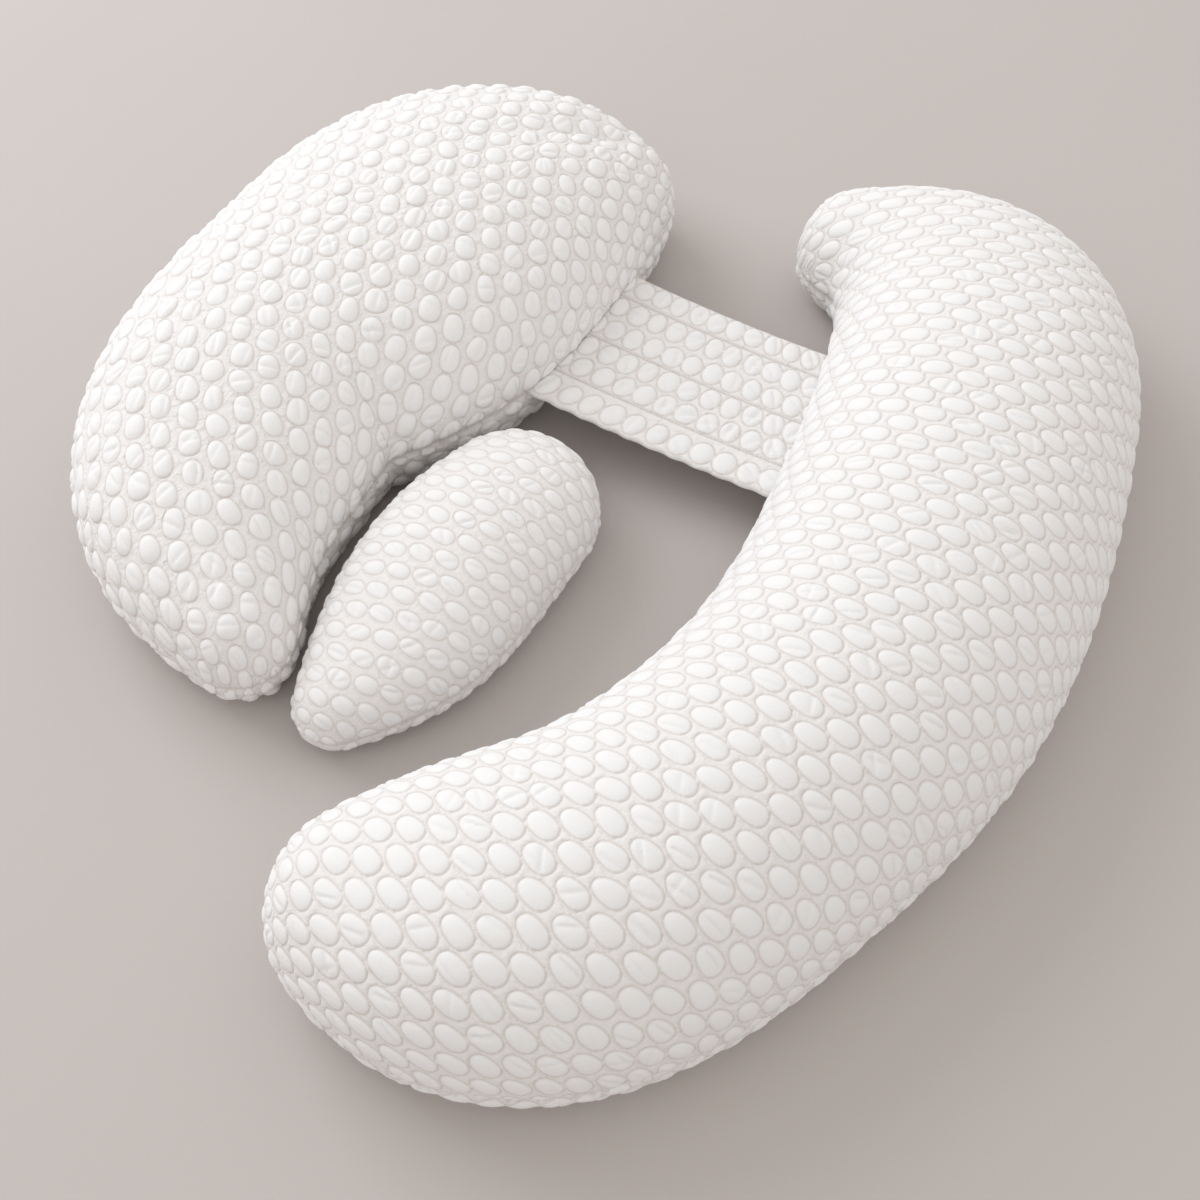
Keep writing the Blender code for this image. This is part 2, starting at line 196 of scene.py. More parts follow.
# %% Sections of the three cushions
CRESCENT_SECTIONS = (  # x, y, half width, crown, seam
    (-0.016, -0.349, 0.083, 0.106, 0.054),
    (0.064, -0.317, 0.129, 0.125, 0.056),
    (0.130, -0.262, 0.140, 0.133, 0.056),
    (0.194, -0.147, 0.139, 0.138, 0.054),
    (0.239, 0.010, 0.147, 0.140, 0.052),
    (0.243, 0.175, 0.152, 0.140, 0.050),
    (0.226, 0.326, 0.150, 0.134, 0.050),
    (0.178, 0.456, 0.131, 0.116, 0.050),
    (0.092, 0.500, 0.081, 0.096, 0.047),
    (0.037, 0.504, 0.057, 0.082, 0.043),
)

HALF_MOON_SECTIONS = (
    (-0.257, -0.180, 0.048, 0.066, 0.046),
    (-0.336, -0.105, 0.102, 0.086, 0.056),
    (-0.384, 0.010, 0.146, 0.102, 0.064),
    (-0.387, 0.098, 0.159, 0.111, 0.066),
    (-0.356, 0.203, 0.188, 0.116, 0.066),
    (-0.330, 0.321, 0.185, 0.117, 0.066),
    (-0.270, 0.409, 0.124, 0.101, 0.062),
    (-0.226, 0.453, 0.073, 0.079, 0.054),
)

LEAF_SECTIONS = (
    (-0.156, -0.190, 0.038, 0.044, 0.028),
    (-0.138, -0.107, 0.076, 0.062, 0.036),
    (-0.128, -0.006, 0.086, 0.074, 0.042),
    (-0.117, 0.056, 0.079, 0.068, 0.042),
)

UPPER_SQUARENESS = 2.2  # exponent of the upper panel's profile: 2 is an ellipse
EDGE_ROLL = 0.036  # how far in from the seam the underside reaches the floor
CLOTH_STRAIGHTENING = 0.7  # the flat panels curve this much of the filled cushion's curve
LINE_STEP = 0.003  # spacing of the points that stand for a middle line
PROFILE_POINTS = 96  # points of a panel's profile, from its middle line to its seam
STEEPEST_TAPER = 0.9  # the fastest change of a half width that a ray follows
TAPER_WINDOW = 15  # points of the middle line, each way, over which that change is averaged
print(len(CRESCENT_SECTIONS) + len(HALF_MOON_SECTIONS) + len(LEAF_SECTIONS), "sections")

# %% [markdown]
# ## From flat cloth to filled cushion
#
# Quilting is made while the cloth is flat, so its rows keep their pitch where the cushion curves
# away. To get the same, every point here starts on the flat panel and is then carried onto the
# filled cushion. Rays run from the middle line to the seam. A point at a share of a ray's length
# on the flat cloth lies at the same share of the ray's curved length on the cushion.

# %% Cushions and their rays
def natural_cubic(knots, values, at):
    """The natural cubic spline through values at knots, read at the given places."""
    count = len(knots)
    gaps = np.diff(knots)
    matrix = np.eye(count)
    slopes = np.zeros_like(values)
    for i in range(1, count - 1):
        matrix[i, i - 1 : i + 2] = gaps[i - 1], 2 * (gaps[i - 1] + gaps[i]), gaps[i]
        rise_after = (values[i + 1] - values[i]) / gaps[i]
        rise_before = (values[i] - values[i - 1]) / gaps[i - 1]
        slopes[i] = 6 * (rise_after - rise_before)
    bends = np.linalg.solve(matrix, slopes)
    i = np.clip(np.searchsorted(knots, at, side="right") - 1, 0, count - 2)
    after = (at - knots[i])[:, None]
    before = (knots[i + 1] - at)[:, None]
    gap = gaps[i][:, None]
    curve = (bends[i] * before**3 + bends[i + 1] * after**3) / (6 * gap)
    curve += (values[i] / gap - bends[i] * gap / 6) * before
    return curve + (values[i + 1] / gap - bends[i + 1] * gap / 6) * after


def unit(angles):
    return np.stack([np.cos(angles), np.sin(angles)], axis=-1)


def smooth_step(values):
    values = np.clip(values, 0, 1)
    return values * values * (3 - 2 * values)


class Cushion:
    """The filled shape of one cushion, and the rays that join its middle line to its seam."""

    def __init__(self, sections):
        rows = np.array(sections)
        knots = np.concatenate([[0], np.cumsum(np.hypot(*np.diff(rows[:, :2], axis=0).T))])
        count = round(knots[-1] / LINE_STEP) + 1
        self.along = np.linspace(0, knots[-1], count)
        line = natural_cubic(knots, rows, self.along)
        self.line = line[:, :2]
        self.half_width, self.crown, self.seam = line[:, 2], line[:, 3], line[:, 4]
        tangent = np.gradient(self.line, self.along, axis=0)
        self.heading = np.unwrap(np.arctan2(tangent[:, 1], tangent[:, 0]))
        narrowing = np.pad(-np.gradient(self.half_width, self.along), TAPER_WINDOW, mode="edge")
        window = np.full(2 * TAPER_WINDOW + 1, 1 / (2 * TAPER_WINDOW + 1))
        narrowing = np.clip(np.convolve(narrowing, window, mode="valid"), -STEEPEST_TAPER, STEEPEST_TAPER)
        self.ray_angle = math.pi / 2 - np.arcsin(narrowing)
        middle = count // 2
        turned = self.heading - self.heading[middle]
        self.flat_heading = self.heading[middle] + CLOTH_STRAIGHTENING * turned
        steps = np.diff(self.along)[:, None] * unit((self.flat_heading[1:] + self.flat_heading[:-1]) / 2)
        self.flat_line = np.vstack([[0, 0], np.cumsum(steps, axis=0)])
        self.flat_line += self.line[middle] - self.flat_line[middle]

    def rays(self, step, inset=0.0):
        """Stations and angles of rays whose outer ends lie about a step apart, round the cushion."""
        stations, angles = [], []
        last = len(self.along) - 1
        reach = self.half_width - inset
        for side, order in ((1, np.arange(last + 1)), (-1, np.arange(last, -1, -1))):
            tips = (self.line + reach[:, None] * unit(self.heading + side * self.ray_angle))[order]
            lengths = np.concatenate([[0], np.cumsum(np.hypot(*np.diff(tips, axis=0).T))])
            count = max(4, round(lengths[-1] / step))
            places = np.interp(np.linspace(0, lengths[-1], count, endpoint=False), lengths, order)
            stations += list(places)
            angles += list(side * np.interp(places, np.arange(last + 1), self.ray_angle))
            end = order[-1]
            fan = 2 * self.ray_angle[end] if side == 1 else 2 * (math.pi - self.ray_angle[end])
            count = max(4, round(fan * reach[end] / step))
            for i in range(count):
                stations.append(end)
                angles.append(side * self.ray_angle[end] - fan * i / count)
        return np.array(stations), np.array(angles)

    def at(self, stations, values):
        """A row of the cushion's sizes read at stations, between two points of the middle line too."""
        before = np.floor(stations).astype(int)
        after = np.minimum(before + 1, len(self.along) - 1)
        share = (stations - before).reshape(-1, *[1] * (values.ndim - 1))
        return values[before] * (1 - share) + values[after] * share

    def upper_profile(self, stations):
        """How far out, and how high, the upper panel's points lie, from the crown to the seam."""
        turn = np.linspace(0, math.pi / 2, PROFILE_POINTS)
        out = np.sin(turn) ** (2 / UPPER_SQUARENESS)
        up = np.clip(np.cos(turn), 0, 1) ** (2 / UPPER_SQUARENESS)
        half_width, seam, crown = (
            self.at(stations, row)[:, None] for row in (self.half_width, self.seam, self.crown)
        )
        return half_width * out, seam + crown * up

    def under_profile(self, stations):
        """The same for the under panel: flat on the floor, and then up to the seam."""
        turn = np.linspace(0, math.pi / 2, PROFILE_POINTS - 1)
        half_width = self.at(stations, self.half_width)[:, None]
        out = half_width - EDGE_ROLL * (1 - np.sin(turn))
        up = self.at(stations, self.seam)[:, None] * (1 - np.cos(turn))
        centre = np.zeros_like(half_width)
        return np.hstack([centre, out]), np.hstack([centre, up])

    def panel(self, profile, rays, shares):
        """Where points at the given shares of each ray lie, on the flat cloth and on the cushion."""
        stations, angles = rays
        out, up = profile(stations)
        lengths = np.cumsum(np.hypot(np.diff(out, axis=1), np.diff(up, axis=1)), axis=1)
        lengths = np.hstack([np.zeros((len(stations), 1)), lengths])
        line, flat_line = self.at(stations, self.line), self.at(stations, self.flat_line)
        ways = unit(self.at(stations, self.heading) + angles)
        flat_ways = unit(self.at(stations, self.flat_heading) + angles)
        flat, filled = [], []
        for ray in range(len(stations)):
            reach = lengths[ray, -1] * shares
            distance = np.interp(reach, lengths[ray], out[ray])
            height = np.interp(reach, lengths[ray], up[ray])
            flat.append(flat_line[ray] + reach[:, None] * flat_ways[ray])
            filled.append(np.column_stack([line[ray] + distance[:, None] * ways[ray], height]))
        return np.array(flat), np.array(filled)


cushions = {
    "crescent": Cushion(CRESCENT_SECTIONS),
    "half_moon": Cushion(HALF_MOON_SECTIONS),
    "leaf": Cushion(LEAF_SECTIONS),
}
for name, cushion in cushions.items():
    print(name, "middle line", round(cushion.along[-1], 3), "m long")

# %% [markdown]
# A net of fine triangles over the flat panel, and the same net on the cushion, carry any point from
# one to the other: the triangle that holds the point is found on the flat net, and the point keeps
# its place between that triangle's corners.

# %% The net that carries points from the flat cloth
class Net:
    """Triangles that have a place on the flat cloth, and values at their corners."""

    def __init__(self, flat, values, triangles):
        self.flat, self.values, self.triangles = flat, values, triangles
        corners = [Vector((x, y, 0)) for x, y in flat]
        self.tree = BVHTree.FromPolygons(corners, triangles.tolist())

    def read(self, points):
        """The values at points of the flat cloth, and how far each point lies outside the net."""
        found = [self.tree.find_nearest((x, y, 0)) for x, y in points]
        nearest = np.array([hit[0][:2] for hit in found])
        a, b, c = (self.triangles[[hit[2] for hit in found], corner] for corner in range(3))
        to_b, to_c = self.flat[b] - self.flat[a], self.flat[c] - self.flat[a]
        to_point = nearest - self.flat[a]
        size = to_b[:, 0] * to_c[:, 1] - to_b[:, 1] * to_c[:, 0]
        size[size == 0] = 1
        share_b = (to_point[:, 0] * to_c[:, 1] - to_point[:, 1] * to_c[:, 0]) / size
        share_c = (to_b[:, 0] * to_point[:, 1] - to_b[:, 1] * to_point[:, 0]) / size
        shares = np.column_stack([1 - share_b - share_c, share_b, share_c])
        values = sum(shares[:, [n]] * self.values[corner] for n, corner in enumerate((a, b, c)))
        return values, np.array([hit[3] for hit in found])


NET_STEP = 0.004  # spacing of the net's rays at the seam
NET_SHARES = 64  # points along each ray


def panel_net(cushion, profile):
    flat, filled = cushion.panel(profile, cushion.rays(NET_STEP), np.linspace(0, 1, NET_SHARES))
    corners = np.arange(len(flat) * NET_SHARES).reshape(len(flat), NET_SHARES)
    beyond = np.roll(corners, -1, axis=0)
    inner, outer = corners[:, :-1].ravel(), corners[:, 1:].ravel()
    next_inner, next_outer = beyond[:, :-1].ravel(), beyond[:, 1:].ravel()
    triangles = np.vstack([
        np.column_stack([inner, outer, next_outer]),
        np.column_stack([inner, next_outer, next_inner]),
    ])
    return Net(flat.reshape(-1, 2), filled.reshape(-1, 3), triangles)


nets = {}
for name, cushion in cushions.items():
    for side, profile in (("upper", cushion.upper_profile), ("under", cushion.under_profile)):
        nets[name, side] = panel_net(cushion, profile)
        print(name, side, "net of", len(nets[name, side].triangles), "triangles")

# %% [markdown]
# ## Sewing two panels together
#
# Both panels share the points of the side seam, and the under panel is left open where it lies flat
# on the floor, which one plain face closes. Between these edges any scatter of points on the flat
# cloth can be joined into triangles. Blender's constrained triangulation does this, and it keeps
# the seam and the floor line as edges.

# %% Panels to a closed casing
AT_SEAM = np.array([1.0])  # the share of a ray's length where its outer end is
SAME_POINT = 1e-7  # closer than this, the triangulation takes two points for one
EASE_PASSES = 50  # each evens the cloth out a little further, to about 15 mm in all
EASE_HOLD = 0.018  # distance from the seam or the floor line at which easing has its full effect


def inside(points, loop):
    """Which points lie inside a closed loop, by counting the edges to the right of each."""
    x1, y1 = loop[:, 0], loop[:, 1]
    x2, y2 = np.roll(x1, -1), np.roll(y1, -1)
    rise = np.where(y2 == y1, 1, y2 - y1)
    found = []
    for some in np.array_split(points, len(points) // 2000 + 1):
        x, y = some[:, 0][:, None], some[:, 1][:, None]
        crosses = (y1 > y) != (y2 > y)
        found.append((crosses & (x < x1 + (y - y1) * (x2 - x1) / rise)).sum(axis=1) % 2 == 1)
    return np.concatenate(found)


def distance_to(points, loop, spacing=0.0008):
    """How far each point lies from a closed loop, to about the given spacing."""
    ends = np.roll(loop, -1, axis=0)
    marks = []
    for start, end in zip(loop, ends):
        count = max(1, math.ceil(np.hypot(*(end - start)) / spacing))
        marks.append(start + (end - start) * np.arange(count)[:, None] / count)
    marks = np.vstack(marks)
    tree = KDTree(len(marks))
    for number, (x, y) in enumerate(marks):
        tree.insert((x, y, 0), number)
    tree.balance()
    return np.array([tree.find((x, y, 0))[2] for x, y in points])


def triangulate(points, loops):
    """Triangles inside the first loop and outside the second. The loops' points come first."""
    edges, start = [], 0
    for loop in loops:
        edges += [(start + i, start + (i + 1) % len(loop)) for i in range(len(loop))]
        start += len(loop)
    corners = [Vector(point) for point in points]
    placed, _, triangles, origins, _, _ = delaunay_2d_cdt(corners, edges, [], 0, SAME_POINT)
    if len(placed) != len(points):
        raise ValueError("two points of the cloth fall together, or its edge crosses itself")
    order = np.array([origin[0] for origin in origins])
    triangles = order[np.array(triangles)]
    middles = np.asarray(points)[triangles].mean(axis=1)
    kept = inside(middles, loops[0])
    for loop in loops[1:]:
        kept &= ~inside(middles, loop)
    return triangles[kept]


def parted(points, triangles, rim):
    """Splits each edge that crosses the cloth from one rim point to another, so that two panels
    sewn along the rim share nothing else."""
    edges = np.sort(np.vstack([triangles[:, pair] for pair in ([0, 1], [1, 2], [2, 0])]), axis=1)
    steps = edges[:, 1] - edges[:, 0]
    across = np.unique(edges[(edges[:, 1] < rim) & (steps > 1) & (steps < rim - 1)], axis=0)
    for one, other in across:
        beside = (triangles == one).any(axis=1) & (triangles == other).any(axis=1)
        whole = triangles[beside]
        halves = [np.where(whole == corner, len(points), whole) for corner in (one, other)]
        triangles = np.vstack([triangles[~beside], *halves])
        points = np.vstack([points, (points[one] + points[other]) / 2])
    return points, triangles


class Casing:
    """Two panels sewn into one closed casing: its points, its faces, and their place on the cloth."""

    def __init__(self, name, rim_step, floor_step, scatter):
        cushion = cushions[name]
        rim = cushion.rays(rim_step)
        stations, angles = cushion.rays(floor_step, inset=EDGE_ROLL)
        reach = (cushion.at(stations, cushion.half_width) - EDGE_ROLL)[:, None]
        floor_flat, floor_plan = (
            cushion.at(stations, line) + reach * unit(cushion.at(stations, heading) + angles)
            for line, heading in (
                (cushion.flat_line, cushion.flat_heading),
                (cushion.line, cushion.heading),
            )
        )
        floor_points = np.column_stack([floor_plan, np.zeros(len(floor_plan))])
        rim_flat, rim_points = (row[:, 0] for row in cushion.panel(cushion.upper_profile, rim, AT_SEAM))
        self.points = [rim_points, floor_points]
        self.flat = [rim_flat, floor_flat]
        self.to_seam = [np.zeros(len(rim_flat)), np.full(len(floor_flat), EDGE_ROLL)]
        self.to_floor = [np.full(len(rim_flat), EDGE_ROLL), np.zeros(len(floor_flat))]
        self.faces, self.face_sides = [], []
        self.sides = [np.full(len(rim_flat), 0), np.full(len(floor_flat), 1)]
        start = len(rim_flat) + len(floor_flat)
        for side, profile in enumerate((cushion.upper_profile, cushion.under_profile)):
            outline = cushion.panel(profile, rim, AT_SEAM)[0][:, 0]
            loops = [outline] if side == 0 else [outline, floor_flat]
            flat = scatter(side, outline.min(axis=0), outline.max(axis=0))
            flat = flat[inside(flat, outline)]
            to_seam = distance_to(flat, outline)
            kept = to_seam > rim_step / 2
            to_floor = np.full(len(flat), EDGE_ROLL)
            if side == 1:
                kept &= ~inside(flat, floor_flat)
                to_floor = distance_to(flat, floor_flat)
                kept &= to_floor > floor_step / 2
            flat, to_seam, to_floor = flat[kept], to_seam[kept], to_floor[kept]
            on_loops = sum(map(len, loops))
            both = np.vstack([*loops, flat])
            both, triangles = parted(both, triangulate(both, loops), len(outline))
            flat, added = both[on_loops:], both[on_loops + len(flat) :]
            to_seam = np.concatenate([to_seam, distance_to(added, outline)])
            to_floor = np.concatenate([to_floor, np.full(len(added), EDGE_ROLL)])
            numbers = np.concatenate([np.arange(on_loops), start + np.arange(len(flat))])
            triangles = numbers[triangles]
            self.faces.append(triangles if side == 0 else triangles[:, ::-1])
            self.face_sides.append(np.full(len(triangles), side))
            self.points.append(nets[name, ("upper", "under")[side]].read(flat)[0])
            self.flat.append(flat)
            self.to_seam.append(to_seam)
            self.to_floor.append(to_floor)
            self.sides.append(np.full(len(flat), side))
            start += len(flat)
            if side == 1:
                self.under_rim_flat = outline
        self.rim_count, self.floor_count = len(rim_flat), len(floor_flat)
        for key in ("points", "flat", "to_seam", "to_floor", "sides", "faces", "face_sides"):
            setattr(self, key, np.concatenate(getattr(self, key)))

    def mesh(self, name):
        floor_face = list(range(self.rim_count, self.rim_count + self.floor_count))
        mesh = bpy.data.meshes.new(name)
        mesh.from_pydata(self.points.tolist(), [], self.faces.tolist() + [floor_face])
        mesh.update()
        return mesh

    def stretch(self):
        """How long the cloth is on the cushion at each point, as a share of its length when flat."""
        clear = self.faces[(self.faces >= self.rim_count).all(axis=1)]
        sides = self.points[clear[:, 1:]] - self.points[clear[:, :1]]
        flat_sides = self.flat[clear[:, 1:]] - self.flat[clear[:, :1]]
        area = np.linalg.norm(np.cross(sides[:, 0], sides[:, 1]), axis=1)
        flat_area = np.abs(np.linalg.det(flat_sides))
        stretch = np.ones(len(self.points))
        for _ in range(3):
            total, flat_total = np.full((2, len(self.points)), 1e-12)
            for corner in range(3):
                np.add.at(total, clear[:, corner], area)
                np.add.at(flat_total, clear[:, corner], flat_area)
            stretch = np.sqrt(total / flat_total)
            area = flat_area * stretch[clear].mean(axis=1) ** 2
        return stretch

    def ease(self):
        """Evens out the short steps that crossing rays leave, away from the seam and the floor."""
        pairs = np.vstack([self.faces[:, [0, 1]], self.faces[:, [1, 2]], self.faces[:, [2, 0]]])
        start, end = np.vstack([pairs, pairs[:, ::-1]]).T
        count = np.bincount(start, minlength=len(self.points))[:, None]
        free = (self.to_seam > 0) & (self.to_floor > 0)
        eased = self.points.copy()
        for _ in range(EASE_PASSES):
            around = np.column_stack([np.bincount(start, eased[end, axis]) for axis in range(3)])
            eased[free] += (around / count - eased)[free] / 2
        normals = self.normals()
        hold = smooth_step(self.to_seam / EASE_HOLD) * smooth_step(self.to_floor / EASE_HOLD)
        move = ((eased - self.points) * normals).sum(axis=1) * hold
        self.points = self.points + normals * move[:, None]

    def normals(self):
        mesh = self.mesh("normals")
        normals = np.empty(len(self.points) * 3)
        mesh.vertices.foreach_get("normal", normals)
        bpy.data.meshes.remove(mesh)
        return normals.reshape(-1, 3)


print("panels are sewn by shared seam points")

# %% [markdown]
# ## Filling the casings
#
# A stuffed casing swells most where the cloth has slack, and it is held back along its seam and
# where it lies on the floor. A cloth simulation finds this: a plain casing of coarse triangles is
# blown up by an even pressure with gravity off, while the seam and the floor line are held. Only
# the small difference that it makes along the surface's normals is kept, with a limit, and carried
# to the fine cloth through the flat panel, as the points are.

# %% Blow up a coarse casing
FILL_STEP = 0.013  # spacing of the coarse cloth's points
FILL_PRESSURE = 4.0
FILL_FRAMES = 20
FILL_LIMIT = 0.006  # the furthest that a point may swell or sink from the plain shape
FILL_FADE = 0.05  # distance from the seam at which the typical swelling is wholly taken off


def even_scatter(step):
    """Points in staggered rows a step apart, over a rectangle of flat cloth."""

    def scatter(side, low, high):
        rows = np.arange(low[1], high[1], step * math.sqrt(3) / 2)
        columns = np.arange(low[0], high[0], step)
        points = [np.column_stack([columns + step / 2 * (n % 2), np.full(len(columns), y)])
                  for n, y in enumerate(rows)]
        return np.vstack(points)

    return scatter


def filled(name):
    """How far the pressure moves each point of a coarse casing along its normal."""
    casing = Casing(name, FILL_STEP, 2 * FILL_STEP, even_scatter(FILL_STEP))
    normals = casing.normals()
    blown = add_object(name + "_blown", casing.mesh(name + "_blown"))
    held = blown.vertex_groups.new(name="held")
    held.add(list(range(casing.rim_count + casing.floor_count)), 1.0, "REPLACE")
    cloth = blown.modifiers.new("fill", "CLOTH")
    cloth.settings.vertex_group_mass = "held"
    cloth.settings.use_pressure = True
    cloth.settings.uniform_pressure_force = FILL_PRESSURE
    cloth.settings.effector_weights.gravity = 0
    cloth.settings.quality = 5
    cloth.settings.bending_stiffness = 2.0
    cloth.collision_settings.use_collision = False
    cloth.point_cache.frame_end = FILL_FRAMES
    for number in range(1, FILL_FRAMES + 1):
        bpy.context.scene.frame_set(number)
    bpy.ops.object.select_all(action="DESELECT")
    blown.select_set(True)
    bpy.context.view_layer.objects.active = blown
    bpy.ops.object.modifier_apply(modifier=cloth.name)
    moved = np.empty(len(casing.points) * 3)
    blown.data.vertices.foreach_get("co", moved)
    swelling = ((moved.reshape(-1, 3) - casing.points) * normals).sum(axis=1)
    bpy.data.objects.remove(blown)
    bpy.context.scene.frame_set(1)
    return casing, swelling


swellings = {}
for name in cushions:
    casing, swelling = filled(name)
    upper = (casing.sides == 0) & (casing.to_seam > 0)
    typical = np.median(swelling[upper])
    print(name, "swells by", (np.percentile(swelling[upper], (5, 50, 95)) * 1000).round(1), "mm")
    swelling -= typical * np.clip(casing.to_seam / FILL_FADE, 0, 1)
    swelling = np.clip(swelling, -FILL_LIMIT, FILL_LIMIT)
    for side in (0, 1):
        faces = casing.faces[casing.face_sides == side]
        flat = casing.flat.copy()
        if side == 1:
            flat[: casing.rim_count] = casing.under_rim_flat
        swellings[name, side] = Net(flat, swelling[:, None], faces)

# %% [markdown]
# ## The bubble quilting
#
# A quilting machine joins a stretched back to a looser face along small rings, and the face puffs
# up inside each ring. The crescent's bubbles stand in rows and columns, and those of the other two
# stand in staggered rows. Each bubble is a slightly tilted oval, no two quite alike. Some have a
# soft crease across, where the filling has been pressed.
#
# One function gives the height of the cloth at any point of the flat panel: a dome inside a ring,
# a fine groove on it, and a lower puffed web between the rings.

# %% Height of the quilting
QUILTINGS = {  # repeat steps, half axes of the ovals and height in metres, angles in degrees
    "crescent": {"steps": (0.0246, 0.0257), "direction": 41, "between": 86, "seed": 3,
                 "axes": (0.0140, 0.0090), "lean": 136, "height": 0.0027, "creased": 0.35,
                 "uneven": 0.6},
    "half_moon": {"steps": (0.0277, 0.0277), "direction": -6, "between": 60, "seed": 5,
                  "axes": (0.0128, 0.0097), "lean": 118, "height": 0.0037, "creased": 0.75,
                  "uneven": 1.6},
    "leaf": {"steps": (0.0245, 0.0236), "direction": 9, "between": 58, "seed": 8,
             "axes": (0.0116, 0.0072), "lean": 168, "height": 0.0024, "creased": 0.40,
             "uneven": 0.8},
}
WEB_HEIGHT = 0.0011
WEB_SOFTNESS = 0.0009  # how far from a ring the web has risen by two thirds
FOLD_SIDE = math.radians(258)  # the direction, on the flat cloth, of the folds round the rings
PLACE_SPREAD = 0.0005  # these four are a bubble's typical departures, where uneven is 1
SIZE_SPREAD = 0.035
LEAN_SPREAD = 7  # degrees
HEIGHT_SPREAD = 0.08
EGG_SHAPE = (0.08, 0.04)  # how much narrower one end of a bubble is, and the spread of that
CREASE_DEPTHS = (0.0008, 0.0020)
CREASE_WIDTHS = (0.0010, 0.0020)
CREASE_TURN = 0.3  # the least spread of the creases' directions, in radians
CREASE_OFFSET = 0.5  # the most that a crease lies off its bubble's middle, in short half axes
LUMP_SIZE = 0.006  # of the web, with the share of its height that they add where uneven is 1
LUMPS = 0.6
PLEAT_SIZE = 0.0028
PLEAT_HEIGHT = 0.0004
DOME_TOP = 2.8  # exponents of a bubble's profile: a higher one gives a flatter top,
DOME_SIDE = 0.68  # and a lower one gives a steeper side
CREASE_SIDES = (0.7, 1.6)  # a crease's widths to its steep and its gentle side, as shares
TABLE_REACH = 64  # bubbles each way from the lattice's origin that have their own variations
PLUMPNESS = 2.25  # exponent of a ring's shape: 2 is an ellipse
RING_GAP = 0.0009  # the least distance between two rings


def domed(within):
    """The height of a bubble, flat on top and steep at its ring, at shares of the way to the ring."""
    return (1 - within**DOME_TOP) ** DOME_SIDE


def crease(across, width):
    """How deep a crease is at distances across it: a sharp fold, steeper on one side."""
    steep, gentle = CREASE_SIDES
    return 1 / (1 + (across / np.where(across < 0, steep * width, gentle * width)) ** 2)


